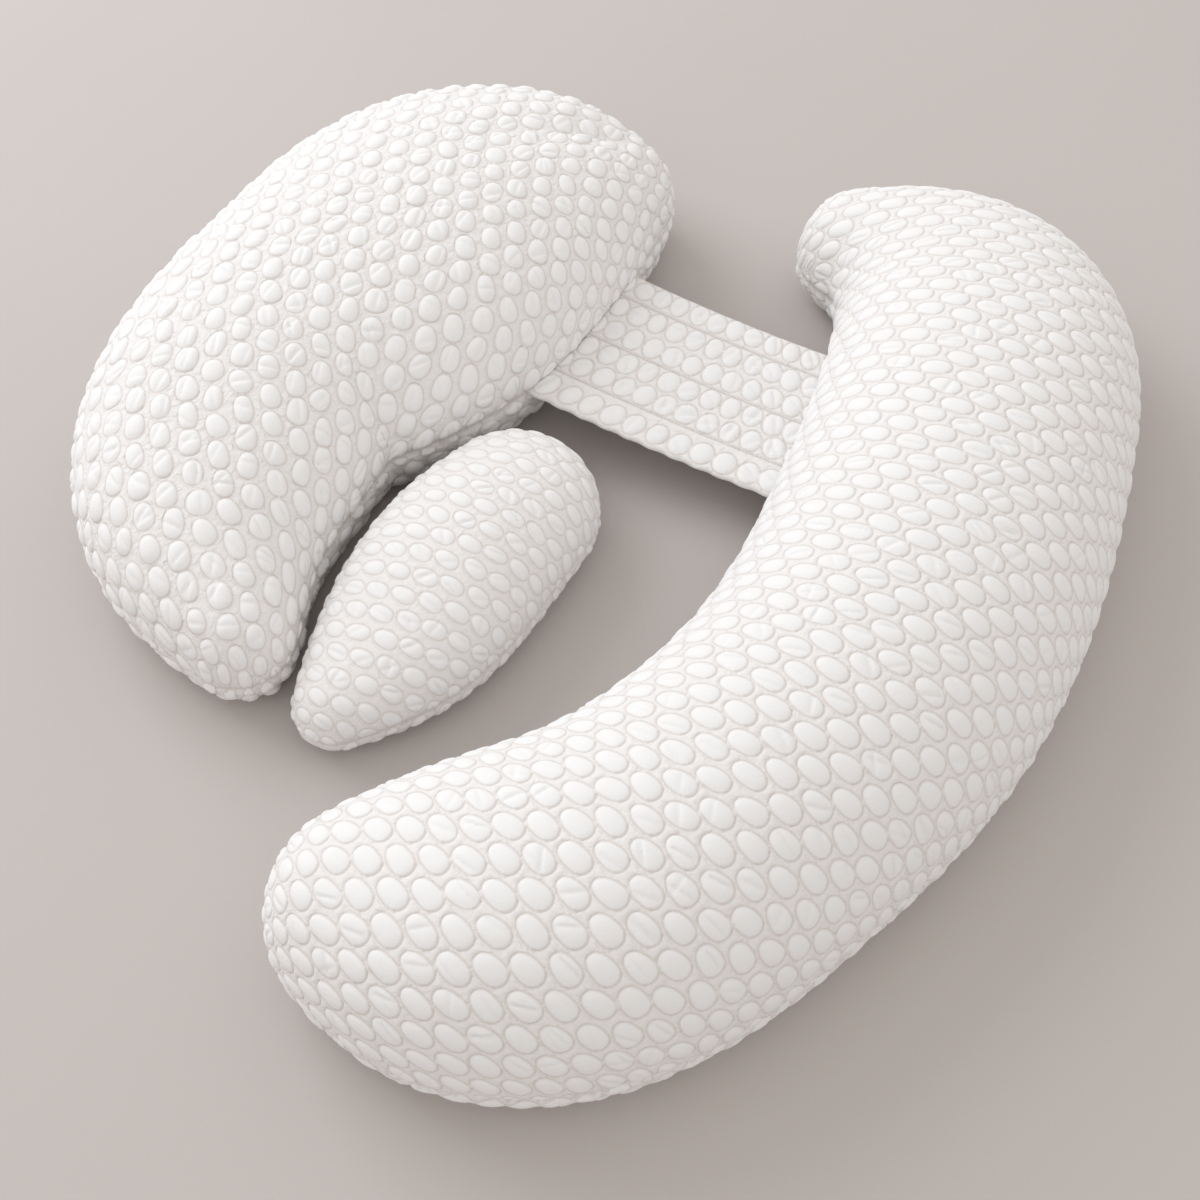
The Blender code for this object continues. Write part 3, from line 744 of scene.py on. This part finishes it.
class Quilting:
    """Bubbles on a lattice over the flat cloth, each with its own small variations."""

    def __init__(self, steps, direction, between, axes, lean, height, creased, uneven, seed):
        self.first = steps[0] * unit(np.radians(direction))
        self.second = steps[1] * unit(np.radians(direction + between))
        self.basis = np.linalg.inv(np.column_stack([self.first, self.second]))
        self.axes = axes
        self.uneven = uneven
        draw = np.random.default_rng(seed)
        size = (2 * TABLE_REACH + 1, 2 * TABLE_REACH + 1)
        self.shift = uneven * draw.normal(0, PLACE_SPREAD, (*size, 2))
        self.scale = 1 + uneven * draw.normal(0, SIZE_SPREAD, (*size, 2))
        self.lean = np.radians(direction + lean + uneven * draw.normal(0, LEAN_SPREAD, size))
        self.height = height * (1 + uneven * draw.normal(0, HEIGHT_SPREAD, size))
        self.egg = draw.normal(*EGG_SHAPE, size)
        self.creases = []
        for share in (creased, creased * 0.5):
            depth = np.where(draw.random(size) < share, draw.uniform(*CREASE_DEPTHS, size), 0)
            angle = draw.normal(0, CREASE_TURN + creased, size)
            offset = draw.uniform(-CREASE_OFFSET, CREASE_OFFSET, size)
            width = draw.uniform(*CREASE_WIDTHS, size)
            self.creases.append((depth, angle, offset, width))

    def middles(self, numbers):
        """Where the bubbles with the given numbers on the lattice have their middles."""
        shift = self.shift[tuple((numbers + TABLE_REACH).T)]
        return numbers[:, [0]] * self.first + numbers[:, [1]] * self.second + shift

    def nearest(self, points):
        """For each point: the bubble nearest by its ring, the point's place in that bubble, its share
        of the way to the ring, and its distance from the ring.

        The place is measured along the bubble's long and short axes. The share is 0 at its middle
        and 1 on its ring, and the distance is less than 0 inside the ring. Where two rings would
        cross, both keep clear of the line midway between them."""
        home = np.round(points @ self.basis.T).astype(int)
        best, second = np.full((2, len(points)), np.inf)
        bubble = np.zeros((len(points), 2), int)
        place = np.zeros((len(points), 2))
        share = np.zeros(len(points))
        for i in (-1, 0, 1):
            for j in (-1, 0, 1):
                number = home + (i, j)
                key = tuple((number + TABLE_REACH).T)
                away = points - self.middles(number)
                cos, sin = np.cos(self.lean[key]), np.sin(self.lean[key])
                long = away[:, 0] * cos + away[:, 1] * sin
                short = away[:, 1] * cos - away[:, 0] * sin
                half_long, half_short = (self.axes * self.scale[key]).T
                half_short = half_short * (1 - self.egg[key] * np.clip(long / half_long, -1, 1))
                inner = (
                    np.abs(long / half_long) ** PLUMPNESS + np.abs(short / half_short) ** PLUMPNESS
                ) ** (1 / PLUMPNESS)
                span = np.hypot(long, short)
                edge = np.where(inner > 1e-6, span - span / np.maximum(inner, 1e-6), -half_short)
                closer = edge < best
                second = np.where(closer, best, np.minimum(second, edge))
                best = np.where(closer, edge, best)
                bubble[closer] = number[closer]
                place[closer] = np.column_stack([long, short])[closer]
                share[closer] = inner[closer]
        shared = np.where(best < 0, np.maximum(best, (best - second + RING_GAP) / 2), best)
        share = np.where(best < 0, 1 - (1 - share) * shared / np.minimum(best, -1e-9), share)
        return bubble, place, share, shared

    def relief(self, points):
        """At points of the flat panel: the cloth's height, the distance from the nearest ring, and
        how far the point is on the side of its bubble where a fold runs round the ring."""
        bubble, place, share, edge = self.nearest(points)
        key = tuple((bubble + TABLE_REACH).T)
        within = np.clip(share, 0, 1)
        dome = self.height[key] * domed(within)
        for depth, angle, offset, width in self.creases:
            across = place[:, 1] * np.cos(angle[key]) - place[:, 0] * np.sin(angle[key])
            across -= offset[key] * self.axes[1]
            dome -= depth[key] * crease(across, width[key]) * (1 - within**4)
        lumps, pleats = (
            np.array([noise.noise((x / size, y / size, level)) for x, y in points])
            for size, level in ((LUMP_SIZE, 0.0), (PLEAT_SIZE, 7.0))
        )
        spread = 1 - np.exp(-np.maximum(edge, 0) / WEB_SOFTNESS)
        web = spread * (WEB_HEIGHT * (1 + LUMPS * self.uneven * lumps) + PLEAT_HEIGHT * pleats)
        turn = np.arctan2(place[:, 1], place[:, 0]) + self.lean[key]
        facing = np.clip(np.cos(turn - FOLD_SIDE), 0, 1)
        return np.where(edge < 0, dome, web), edge, facing


quiltings = {name: Quilting(**sizes) for name, sizes in QUILTINGS.items()}
for name, quilting in quiltings.items():
    print(name, "bubbles", [round(2000 * axis, 1) for axis in quilting.axes], "mm across")

# %% [markdown]
# The mesh has to have its points where the quilting turns: on each ring, just inside and outside
# it, and fewer on the smooth dome. So each bubble gets a few rings of points, and the web between
# gets an even scatter that keeps clear of them.

# %% Points that follow the quilting
BUBBLE_RINGS = (  # share of the way from a bubble's middle to its ring, and how many points
    (0.00, 1),
    (0.33, 7),
    (0.60, 12),
    (0.80, 17),
    (0.93, 22),
    (1.00, 22),
)
OUTSIDE_RING = 0.0014  # distance of the points just outside a ring
WEB_STEP = 0.0036
CREASE_ROWS = (0.0, -0.0013, 0.0013, -0.0028, 0.0028)  # distances of points beside a crease
CREASE_STEP = 0.0024  # spacing of the points along it
CREASE_REACH = 3  # points each way from its middle
CREASE_END = 0.92  # share of the way to the ring past which a crease has no points of its own
CLEAR_OF_RINGS = (0.7, 1.7)  # of OUTSIDE_RING: for the points outside a ring, and for the web's
LATTICE_MARGIN = 0.02  # how far outside the cloth a bubble's middle may lie
LEAST_GAP = 0.0009  # of two points, the later one is left out if they are closer


def quilted_scatter(quilting, fineness):
    """Points for the upper (0) and the under (1) panel. A higher fineness gives more points."""

    def scatter(side, low, high):
        detail = fineness[side]
        corners = np.array([low, high, (low[0], high[1]), (high[0], low[1])]) @ quilting.basis.T
        first, last = np.floor(corners.min(axis=0)).astype(int), np.ceil(corners.max(axis=0)).astype(int)
        steps = [np.arange(first[n], last[n] + 1) for n in (0, 1)]
        numbers = np.stack(np.meshgrid(*steps, indexing="ij"), axis=-1).reshape(-1, 2)
        middles = quilting.middles(numbers)
        near = ((middles > low - LATTICE_MARGIN) & (middles < high + LATTICE_MARGIN)).all(axis=1)
        numbers, middles = numbers[near], middles[near]
        key = tuple((numbers + TABLE_REACH).T)
        lean = quilting.lean[key][:, None]
        half_long, half_short = (quilting.axes * quilting.scale[key]).T[:, :, None]
        egg = quilting.egg[key][:, None]
        points, creases = [], []
        for share, count in (*BUBBLE_RINGS, (None, BUBBLE_RINGS[-1][1])):
            count = max(1, round(count * detail)) if count > 1 else 1
            turn = np.arange(count) * 2 * math.pi / count
            cos, sin = np.cos(turn), np.sin(turn)
            round_off = (np.abs(cos) ** PLUMPNESS + np.abs(sin) ** PLUMPNESS) ** (-1 / PLUMPNESS)
            long = half_long * cos * round_off
            short = half_short * sin * round_off * (1 - egg * cos * round_off)
            if share is None:
                share = 1 + OUTSIDE_RING / np.hypot(long, short)
            long, short = long * share, short * share
            x = middles[:, [0]] + long * np.cos(lean) - short * np.sin(lean)
            y = middles[:, [1]] + long * np.sin(lean) + short * np.cos(lean)
            points.append(np.column_stack([x.ravel(), y.ravel()]))
        for depth, angle, offset, _ in quilting.creases:
            creased = np.flatnonzero(depth[key] > 0)
            turn = angle[key][creased] + quilting.lean[key][creased]
            along, across = unit(turn), unit(turn + math.pi / 2)
            start = middles[creased] + (offset[key][creased] * quilting.axes[1])[:, None] * across
            for aside in CREASE_ROWS:
                for far in np.arange(-CREASE_REACH, CREASE_REACH + 1) * CREASE_STEP:
                    creases.append(start + aside * across + far * along)
        rings, outside, creases = np.vstack(points[:-1]), points[-1], np.vstack(creases)
        creases = creases[quilting.nearest(creases)[2] < CREASE_END]
        outside = outside[quilting.nearest(outside)[3] > CLEAR_OF_RINGS[0] * OUTSIDE_RING]
        web = even_scatter(WEB_STEP / math.sqrt(detail))(side, low, high)
        web = web[quilting.nearest(web)[3] > CLEAR_OF_RINGS[1] * OUTSIDE_RING]
        return thinned(np.vstack([creases, rings, outside, web]))

    return scatter


def thinned(points):
    """The points without those that lie too close to an earlier one."""
    tree = KDTree(len(points))
    for number, (x, y) in enumerate(points):
        tree.insert((x, y, 0), number)
    tree.balance()
    kept = [
        all(other >= number for _, other, _ in tree.find_range((x, y, 0), LEAST_GAP))
        for number, (x, y) in enumerate(points)
    ]
    return points[kept]


print("points for each bubble:", sum(count for _, count in BUBBLE_RINGS) + BUBBLE_RINGS[-1][1])

# %% [markdown]
# ## The cloth
#
# The cloth is a polyester jersey, knitted and brushed, which looks matt and a little velvety. It
# is off white. Where it is sewn down, and on the low web between the bubbles, its colour has
# painted shade, warmer and darker, because hardly any light gets there. The material adds three
# kinds of fine line to the mesh: the groove on each ring, with painted shade in it, the fold that
# runs beside it on one side, drawn as a bump with a painted shadow, and the small wrinkles of the
# web. The mesh tells the material how far each point is from its ring. The knit's loops are about
# 0.8 mm, too fine to show from here, so they are drawn at twice that, as a faint bump.

# %% Quilted jersey
GROOVE_WIDTH = 0.95  # mm, as the other sizes of the lines
# The fold is a bump with a painted shadow, on one side of each bubble only
FOLD_AT = 2.1  # distance of the fold from its ring
FOLD_WIDTH = 0.40
FOLD_SHARE = 0.6  # how strong a fold is beside a groove
WEB_EDGES = (-0.2, 0.6)  # distances from a ring between which the web's look sets in
# Painted shade on the web between the bubbles: how far its colour is mixed towards a warm grey
WEB_PAINTED_SHADE = 0.34
# Painted shade in the grooves, the seams, the stitching and the folds: how far the lines' colour is mixed
# towards a warmer grey
LINE_PAINTED_SHADE = 0.42
KNIT_LOOP = 0.0016  # metres, as the sizes below
WRINKLE_SIZE = 0.0075
HAZE_SIZE = 0.011
PUCKERS = {"crescent": 0.5, "half_moon": 0.9, "leaf": 0.5, "strap": 0.8}  # how strong they show


def calculated(tree, operation, *values):
    """The result of a math node. Each value is a socket or a number."""
    return add_node(tree, "ShaderNodeMath", {"operation": operation}, dict(enumerate(values))).outputs[0]


def bell(tree, value, middle, width):
    """A shader value that is 1 where the given value is at the middle and falls off beside it."""
    share = calculated(tree, "DIVIDE", calculated(tree, "SUBTRACT", value, middle), width)
    below = calculated(tree, "MULTIPLY", calculated(tree, "POWER", share, 2.0), -1.0)
    return calculated(tree, "EXPONENT", below)


def quilted_jersey(name, puckers):
    material, tree, shader = new_material(name)
    flat = add_node(tree, "ShaderNodeUVMap", {"uv_map": "flat_cloth"}).outputs["UV"]
    where = add_node(tree, "ShaderNodeTexCoord").outputs["Object"]
    ring, facing, sewn = (
        add_node(tree, "ShaderNodeAttribute", {"attribute_name": key}).outputs["Fac"]
        for key in ("ring_distance", "fold_side", "sewn")
    )
    # The groove on each ring, and the sewn seam or stitching: painted shade in the colour, and an
    # inverted bump
    groove = calculated(tree, "MAXIMUM", bell(tree, ring, 0.0, GROOVE_WIDTH), sewn)
    # The fold beside each ring, on one side of its bubble: a bump, and a painted shadow in the colour
    fold = calculated(tree, "MULTIPLY", bell(tree, ring, FOLD_AT, FOLD_WIDTH), facing)
    lines = calculated(tree, "MAXIMUM", groove, calculated(tree, "MULTIPLY", fold, FOLD_SHARE))
    web = add_node(tree, "ShaderNodeMapRange", None, {
        "Value": ring, "From Min": WEB_EDGES[0], "From Max": WEB_EDGES[1], "To Min": 0.0, "To Max": 1.0,
    }).outputs[0]

    patches = add_node(tree, "ShaderNodeTexNoise", None, {"Vector": where, "Scale": 9.0, "Detail": 3.0})
    colour = add_node(tree, "ShaderNodeMix", {"data_type": "RGBA"}, {
        0: patches.outputs["Fac"], 6: linear("EDECEC"), 7: linear("E9E8E7"),
    })
    # Painted shade: the web and the lines are mixed towards warm greys, where hardly any light gets
    for where_dark, share, dark in ((web, WEB_PAINTED_SHADE, "E0DBD8"), (lines, LINE_PAINTED_SHADE, "C6B6AA")):
        colour = add_node(tree, "ShaderNodeMix", {"data_type": "RGBA"}, {
            0: calculated(tree, "MULTIPLY", where_dark, share), 6: colour.outputs[2], 7: linear(dark),
        })
    tree.links.new(colour.outputs[2], shader.inputs["Base Color"])

    loops = add_node(tree, "ShaderNodeTexVoronoi", {"feature": "F1"}, {
        "Vector": flat, "Scale": 1 / KNIT_LOOP,
    })
    knit = add_node(tree, "ShaderNodeBump", None, {
        "Height": loops.outputs["Distance"], "Strength": 0.10, "Distance": 0.0003,
    })
    wrinkles = add_node(tree, "ShaderNodeTexNoise", None, {
        "Vector": flat, "Scale": 1 / WRINKLE_SIZE, "Detail": 1.5, "Distortion": 0.8,
    })
    level = calculated(tree, "SUBTRACT", wrinkles.outputs["Fac"], 0.5)  # so the web isn't raised
    puckered = add_node(tree, "ShaderNodeBump", None, {
        "Height": calculated(tree, "MULTIPLY", level, web), "Strength": puckers, "Distance": 0.0024,
        "Normal": knit.outputs["Normal"],
    })
    haze = add_node(tree, "ShaderNodeTexNoise", None, {
        "Vector": flat, "Scale": 1 / HAZE_SIZE, "Detail": 3.0,
    })
    brushed = add_node(tree, "ShaderNodeBump", None, {
        "Height": haze.outputs["Fac"], "Strength": 0.35, "Distance": 0.0012,
        "Normal": puckered.outputs["Normal"],
    })
    stitched = add_node(tree, "ShaderNodeBump", {"invert": True}, {
        "Height": lines, "Strength": 0.8, "Distance": 0.0003, "Normal": brushed.outputs["Normal"],
    })
    tree.links.new(stitched.outputs["Normal"], shader.inputs["Normal"])
    shader.inputs["Roughness"].default_value = 0.82
    shader.inputs["Specular IOR Level"].default_value = 0.3
    shader.inputs["Sheen Weight"].default_value = 0.2
    shader.inputs["Sheen Roughness"].default_value = 0.5
    return material


jersey = {name: quilted_jersey(name + "_jersey", share) for name, share in PUCKERS.items()}
print(len(jersey), "materials")

# %% [markdown]
# ## Making the cushions
#
# Each casing gets points that follow its quilting, and is eased where the rays of a bend come close
# together. The swelling from the simulation and the height of the quilting then move every point
# along its normal. Close to the seam the quilting flattens, because the seam holds the cloth down,
# and the seam itself is drawn in. Towards the part that lies on the floor the bubbles are pressed
# flat.

# %% Cushions
FINE_STEP = 0.0032  # spacing of the points along a seam
FLOOR_LINE_STEP = 0.007
SEAM_HOLD = 0.007  # distance over which the seam holds the quilting down
SEAM_SINK = 0.0026
SEAM_SINK_WIDTH = 0.0045
FLOOR_HOLD = 0.020
# the width of the painted shade along the side seam
SEAM_LINE_WIDTH = 0.0012
LEAST_HEIGHT = 0.3  # the share of its height that a bubble keeps where the cloth is most gathered
HELD_RING = 4.0  # mm added to the distance from a ring where the cloth is held flat, which hides it
FINENESS = {"crescent": (0.92, 0.45), "half_moon": (1.25, 0.8), "leaf": (1.25, 0.9)}


def set_cloth(obj, corner_flat, **values):
    """Gives a mesh its place on the flat cloth as a UV map, in metres, and values at its points."""
    layer = obj.data.uv_layers.new(name="flat_cloth")
    layer.data.foreach_set("uv", corner_flat.astype(np.float32).ravel())
    for name, value in values.items():
        attribute = obj.data.attributes.new(name, "FLOAT", "POINT")
        attribute.data.foreach_set("value", value.astype(np.float32))
    obj.data.shade_smooth()


def make_cushion(name):
    casing = Casing(name, FINE_STEP, FLOOR_LINE_STEP, quilted_scatter(quiltings[name], FINENESS[name]))
    casing.ease()
    normals = casing.normals()
    height, edge, facing = quiltings[name].relief(casing.flat)
    height *= np.clip(casing.stretch(), LEAST_HEIGHT, 1)
    hold = smooth_step(casing.to_seam / SEAM_HOLD) * smooth_step(casing.to_floor / FLOOR_HOLD)
    hold[: casing.rim_count + casing.floor_count] = 0
    move = height * hold - SEAM_SINK * np.exp(-((casing.to_seam / SEAM_SINK_WIDTH) ** 2))
    move[casing.rim_count : casing.rim_count + casing.floor_count] = 0
    for side in (0, 1):
        if (name, side) in swellings:
            free = np.flatnonzero((casing.sides == side) & (casing.to_seam > 0) & (casing.to_floor > 0))
            move[free] += swellings[name, side].read(casing.flat[free])[0][:, 0]
    casing.points = casing.points + normals * move[:, None]
    casing.points[:, :2] -= PLAN_CENTRE
    casing.points[:, 2] = np.maximum(casing.points[:, 2], 0)
    obj = add_object(name + "_cover", casing.mesh(name + "_cover"))

    corners = np.concatenate([casing.faces.ravel(), casing.rim_count + np.arange(casing.floor_count)])
    corner_flat = casing.flat[corners]
    of_under = np.repeat(casing.face_sides == 1, 3)
    on_rim = np.flatnonzero(of_under & (corners[: len(of_under)] < casing.rim_count))
    corner_flat[on_rim] = casing.under_rim_flat[corners[on_rim]]
    # Painted shade along the side seam: the material darkens the cloth there, as well as bumping it in
    seam_line = np.exp(-((casing.to_seam / SEAM_LINE_WIDTH) ** 2))
    held_ring = 1000 * edge + HELD_RING * (1 - hold)
    set_cloth(obj, corner_flat, ring_distance=held_ring, fold_side=facing, sewn=seam_line)
    obj.data.materials.append(jersey[name])
    node = name + "_cushion"
    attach(obj, "root")
    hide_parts(node)
    print(name, len(casing.points), "points,", len(casing.faces) + casing.floor_count - 2, "triangles")
    return obj


covers = [make_cushion(name) for name in cushions]

# %% [markdown]
# ## The strap
#
# The strap is the same cloth, doubled: two layers face to face, folded at the long edges and
# stitched along three lines. It is a flat band that runs from the half-moon's seam down to the
# crescent's. Straps are modelled directly, because a simulation would lose their folded edges. The
# bubbles stand in rows between the stitching, and every row is shifted half a bubble from the next.

# %% Strap sizes
STRAP_NEAR_Y = 0.174  # where its two long edges lie
STRAP_FAR_Y = 0.363
STRAP_SAG = 0.004
STRAP_EDGE = 0.0044  # thickness where the cloth is held flat, at the folded edges and sewn ends
STRAP_WEB = 0.0072  # thickness between bubbles
STRAP_BUBBLE_RISE = 0.0038  # of each face
STRAP_BUBBLES = 11
STRAP_AXES = np.array([0.0099, 0.0134])  # half axes of its bubbles, along and across
STRAP_TUCK = 0.0036  # how far each end goes into its seam
STITCH_LINES = (0.200, 0.500, 0.830)  # shares of the strap's width
BUBBLE_ROWS = (0.085, 0.278, 0.422, 0.583, 0.747, 0.921)
STITCH_STEP = 0.0034
EDGE_SCALLOP = 0.0008  # how far the near edge swings out and in, beside and between its bubbles
SCALLOP_REACH = 0.004  # how far in from the edge that is felt
STRAP_PLACE_SPREAD = 0.0006  # typical departures of a bubble from its place and from its size
STRAP_SIZE_SPREAD = 0.045
STRAP_CREASES = (0.6, 0.4)  # shares of the bubbles that have a first and a second crease
STRAP_CREASE_DEPTHS = (0.0012, 0.0026)
STRAP_CREASE_OFFSET = 0.4
STRAP_CREASE_WIDTH = 0.0016
BORDER_HOLD = 0.0026  # how far from stitching and edges the cloth has its full height
END_HOLD = 0.0050  # the same for the sewn ends
STITCH_WIDTH = 0.0011
STITCH_DEPTH = 0.0012  # how far each face lies below that thickness on the stitching
# Painted shade of the stitching, and how much more of it where the thread pulls the cloth in
STITCH_PAINTED_SHADE = (0.9, 0.5)  # how dark the stitching is, and how much darker where thread goes in
STITCH_ROWS = (0.0, -0.0012, 0.0012, -0.0027, 0.0027)  # distances of points beside stitching
EDGE_ROWS = (0.0005, 0.0013, 0.0024, 0.0040)  # distances of points in from a long edge
STRAP_ROW_STEP = 0.002
STRAP_OUTLINE_STEP = 0.003
STRAP_WEB_STEP = 0.0030
STRAP_DOME_STEP = 0.0023
STRAP_DOME_REACH = 0.85  # share of the way to the ring that the dome's even points fill
STRAP_RINGS = ((-0.0008, 30), (0.0, 32), (OUTSIDE_RING, 32))  # distance from a ring, and points
STRAP_MARGIN = np.array([0.0012, 0.0003])  # no point is closer to the ends or the edges
SEAM_REACH = 0.14  # a seam is read this far to either side of the strap's middle
print("strap is", round(1000 * (STRAP_FAR_Y - STRAP_NEAR_Y)), "mm wide")


# %% Strap shape
def side_seam(name, ys, towards):
    """x and height of a cushion's side seam at the given ys, on the side towards +X or -X."""
    cushion = cushions[name]
    seam = cushion.panel(cushion.upper_profile, cushion.rays(LINE_STEP), AT_SEAM)[1][:, 0]
    faces = (seam[:, 0] - cushion.line[:, 0].mean()) * towards > 0
    seam = seam[faces & (np.abs(seam[:, 1] - (STRAP_NEAR_Y + STRAP_FAR_Y) / 2) < SEAM_REACH)]
    seam = seam[np.argsort(seam[:, 1])]
    return np.interp(ys, seam[:, 1], seam[:, 0]), np.interp(ys, seam[:, 1], seam[:, 2])


def strap_bubbles(length, width):
    """The middles of the strap's bubbles, as (along, across)."""
    pitch = length / STRAP_BUBBLES
    middles = []
    for row, share in enumerate(BUBBLE_ROWS):
        for n in range(STRAP_BUBBLES + row % 2):
            middles.append(((n + 0.5 * (1 - row % 2)) * pitch, share * width))
    return np.array(middles)


def strap_relief(points, length, width, draw):
    """For one face, at (along, across) points of the flat strap: half its thickness there, the
    distance from the nearest ring, and how much the point is on a line of stitching, which sets the
    painted shade and the bump of the stitching there."""
    edge, second = np.full((2, len(points)), np.inf)
    rise = np.zeros(len(points))
    for middle in strap_bubbles(length, width):
        axes = STRAP_AXES * (1 + draw.normal(0, STRAP_SIZE_SPREAD, 2))
        away = points - middle - draw.normal(0, STRAP_PLACE_SPREAD, 2)
        inner = np.hypot(*(away / axes).T)
        from_ring = np.hypot(*away.T) * (1 - 1 / np.maximum(inner, 0.05))
        near = from_ring < edge
        within = np.clip(inner, 0, 1)
        dome = STRAP_BUBBLE_RISE * domed(within)
        for share in STRAP_CREASES:
            lean = draw.uniform(0, math.pi)
            offset = draw.uniform(-STRAP_CREASE_OFFSET, STRAP_CREASE_OFFSET)
            depth = draw.uniform(*STRAP_CREASE_DEPTHS) if draw.random() < share else 0
            across = away @ unit(lean) - offset * axes[0]
            dome -= depth * crease(across, STRAP_CREASE_WIDTH) * (1 - within**4)
        rise = np.where(near & (inner < 1), dome, rise)
        second = np.where(near, edge, np.minimum(second, from_ring))
        edge = np.where(near, from_ring, edge)
    edge = np.where(edge < 0, np.maximum(edge, (edge - second) / 2), edge)
    web = (STRAP_WEB - STRAP_EDGE) / 2 * (1 - np.exp(-np.maximum(edge, 0) / WEB_SOFTNESS))
    height = np.where(edge < 0, rise, web)
    aside = np.min([np.abs(points[:, 1] - share * width) for share in STITCH_LINES], axis=0)
    border = np.minimum(points[:, 1], width - points[:, 1])
    ends = np.minimum(points[:, 0], length - points[:, 0])
    hold = smooth_step(aside / BORDER_HOLD) * smooth_step(border / BORDER_HOLD)
    hold = hold * smooth_step(ends / END_HOLD)
    pull = 0.5 + 0.5 * np.cos(points[:, 0] * 2 * math.pi / STITCH_STEP)
    line = np.exp(-((aside / STITCH_WIDTH) ** 2))
    rounded = np.sqrt(1 - (1 - np.clip(2 * border / STRAP_EDGE, 0, 1)) ** 2)
    half = STRAP_EDGE / 2 * rounded + height * hold - STITCH_DEPTH * line
    # Painted shade in the stitching, stronger where the thread pulls the cloth in; the same value is its
    # bump
    stitching = line * (STITCH_PAINTED_SHADE[0] + STITCH_PAINTED_SHADE[1] * pull)
    return half, 1000 * edge + HELD_RING * (1 - hold), stitching


def strap_scatter(length, width):
    """Points that follow the strap's bubbles, stitching and edges, inside its outline."""
    points = []
    for share in STITCH_LINES:
        for beside in STITCH_ROWS:
            along = np.arange(STITCH_STEP / 2, length, STITCH_STEP / 2)
            points.append(np.column_stack([along, np.full(len(along), share * width + beside)]))
    for border in EDGE_ROWS:
        along = np.arange(STRAP_ROW_STEP, length - STRAP_ROW_STEP / 2, STRAP_ROW_STEP)
        for across in (border, width - border):
            points.append(np.column_stack([along, np.full(len(along), across)]))
    for middle in strap_bubbles(length, width):
        dome = even_scatter(STRAP_DOME_STEP)(0, -STRAP_AXES, STRAP_AXES)
        points.append(middle + dome[np.hypot(*(dome / STRAP_AXES).T) < STRAP_DOME_REACH])
        for outside, count in STRAP_RINGS:
            turn = np.arange(count) * 2 * math.pi / count
            points.append(middle + (STRAP_AXES + outside) * unit(turn))
    size = np.array([length, width])
    points.append(even_scatter(STRAP_WEB_STEP)(0, np.zeros(2), size))
    points = np.vstack(points)
    within = ((points > STRAP_MARGIN) & (points < size - STRAP_MARGIN)).all(axis=1)
    return thinned(points[within])


def make_strap():
    width = STRAP_FAR_Y - STRAP_NEAR_Y
    ys = np.linspace(STRAP_NEAR_Y, STRAP_FAR_Y, 60)
    length = float(np.mean(side_seam("crescent", ys, -1)[0] - side_seam("half_moon", ys, 1)[0]))
    along, across = (np.arange(0, side, STRAP_OUTLINE_STEP) for side in (length, width))
    outline = np.vstack([
        np.column_stack([along, np.zeros(len(along))]),
        np.column_stack([np.full(len(across), length), across]),
        np.column_stack([length - along, np.full(len(along), width)]),
        np.column_stack([np.zeros(len(across)), width - across]),
    ])
    flat = np.vstack([outline, strap_scatter(length, width)])
    rim = len(outline)
    flat, triangles = parted(flat, triangulate(flat, [outline]), rim)
    scallop = EDGE_SCALLOP * np.cos(2 * math.pi * STRAP_BUBBLES * flat[:, 0] / length)
    y = STRAP_NEAR_Y + flat[:, 1] + scallop * np.exp(-flat[:, 1] / SCALLOP_REACH)
    start, start_height = side_seam("half_moon", y, 1)
    end, end_height = side_seam("crescent", y, -1)
    start, end = start - STRAP_TUCK, end + STRAP_TUCK
    share = flat[:, 0] / length
    x = start + share * (end - start)
    middle = start_height + share * (end_height - start_height) - 4 * STRAP_SAG * share * (1 - share)
    points, rings, lines = [], [], []
    for side, seed in ((1, 21), (-1, 22)):
        half, ring, line = strap_relief(flat, length, width, np.random.default_rng(seed))
        half[:rim] = 0
        points.append(np.column_stack([x, y, middle + side * half]))
        rings.append(ring)
        lines.append(line)
    lower_numbers = np.concatenate([np.arange(rim), len(flat) + np.arange(len(flat) - rim)])
    points = np.vstack([points[0], points[1][rim:]])
    faces = np.vstack([triangles, lower_numbers[triangles][:, ::-1]])
    points[:, :2] -= PLAN_CENTRE
    mesh = bpy.data.meshes.new("strap_cover")
    mesh.from_pydata(points.tolist(), [], faces.tolist())
    mesh.update()
    obj = add_object("strap_cover", mesh)
    both = np.vstack([flat, flat[rim:]])
    ring, line = (np.concatenate([upper, lower[rim:]]) for upper, lower in (rings, lines))
    set_cloth(obj, both[faces.ravel()], ring_distance=ring, fold_side=np.zeros(len(ring)), sewn=line)
    mesh.materials.append(jersey["strap"])
    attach(obj, "root")
    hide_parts("joining_strap")
    print("strap", round(length, 3), "m long,", len(faces), "triangles")
    return obj


strap = make_strap()
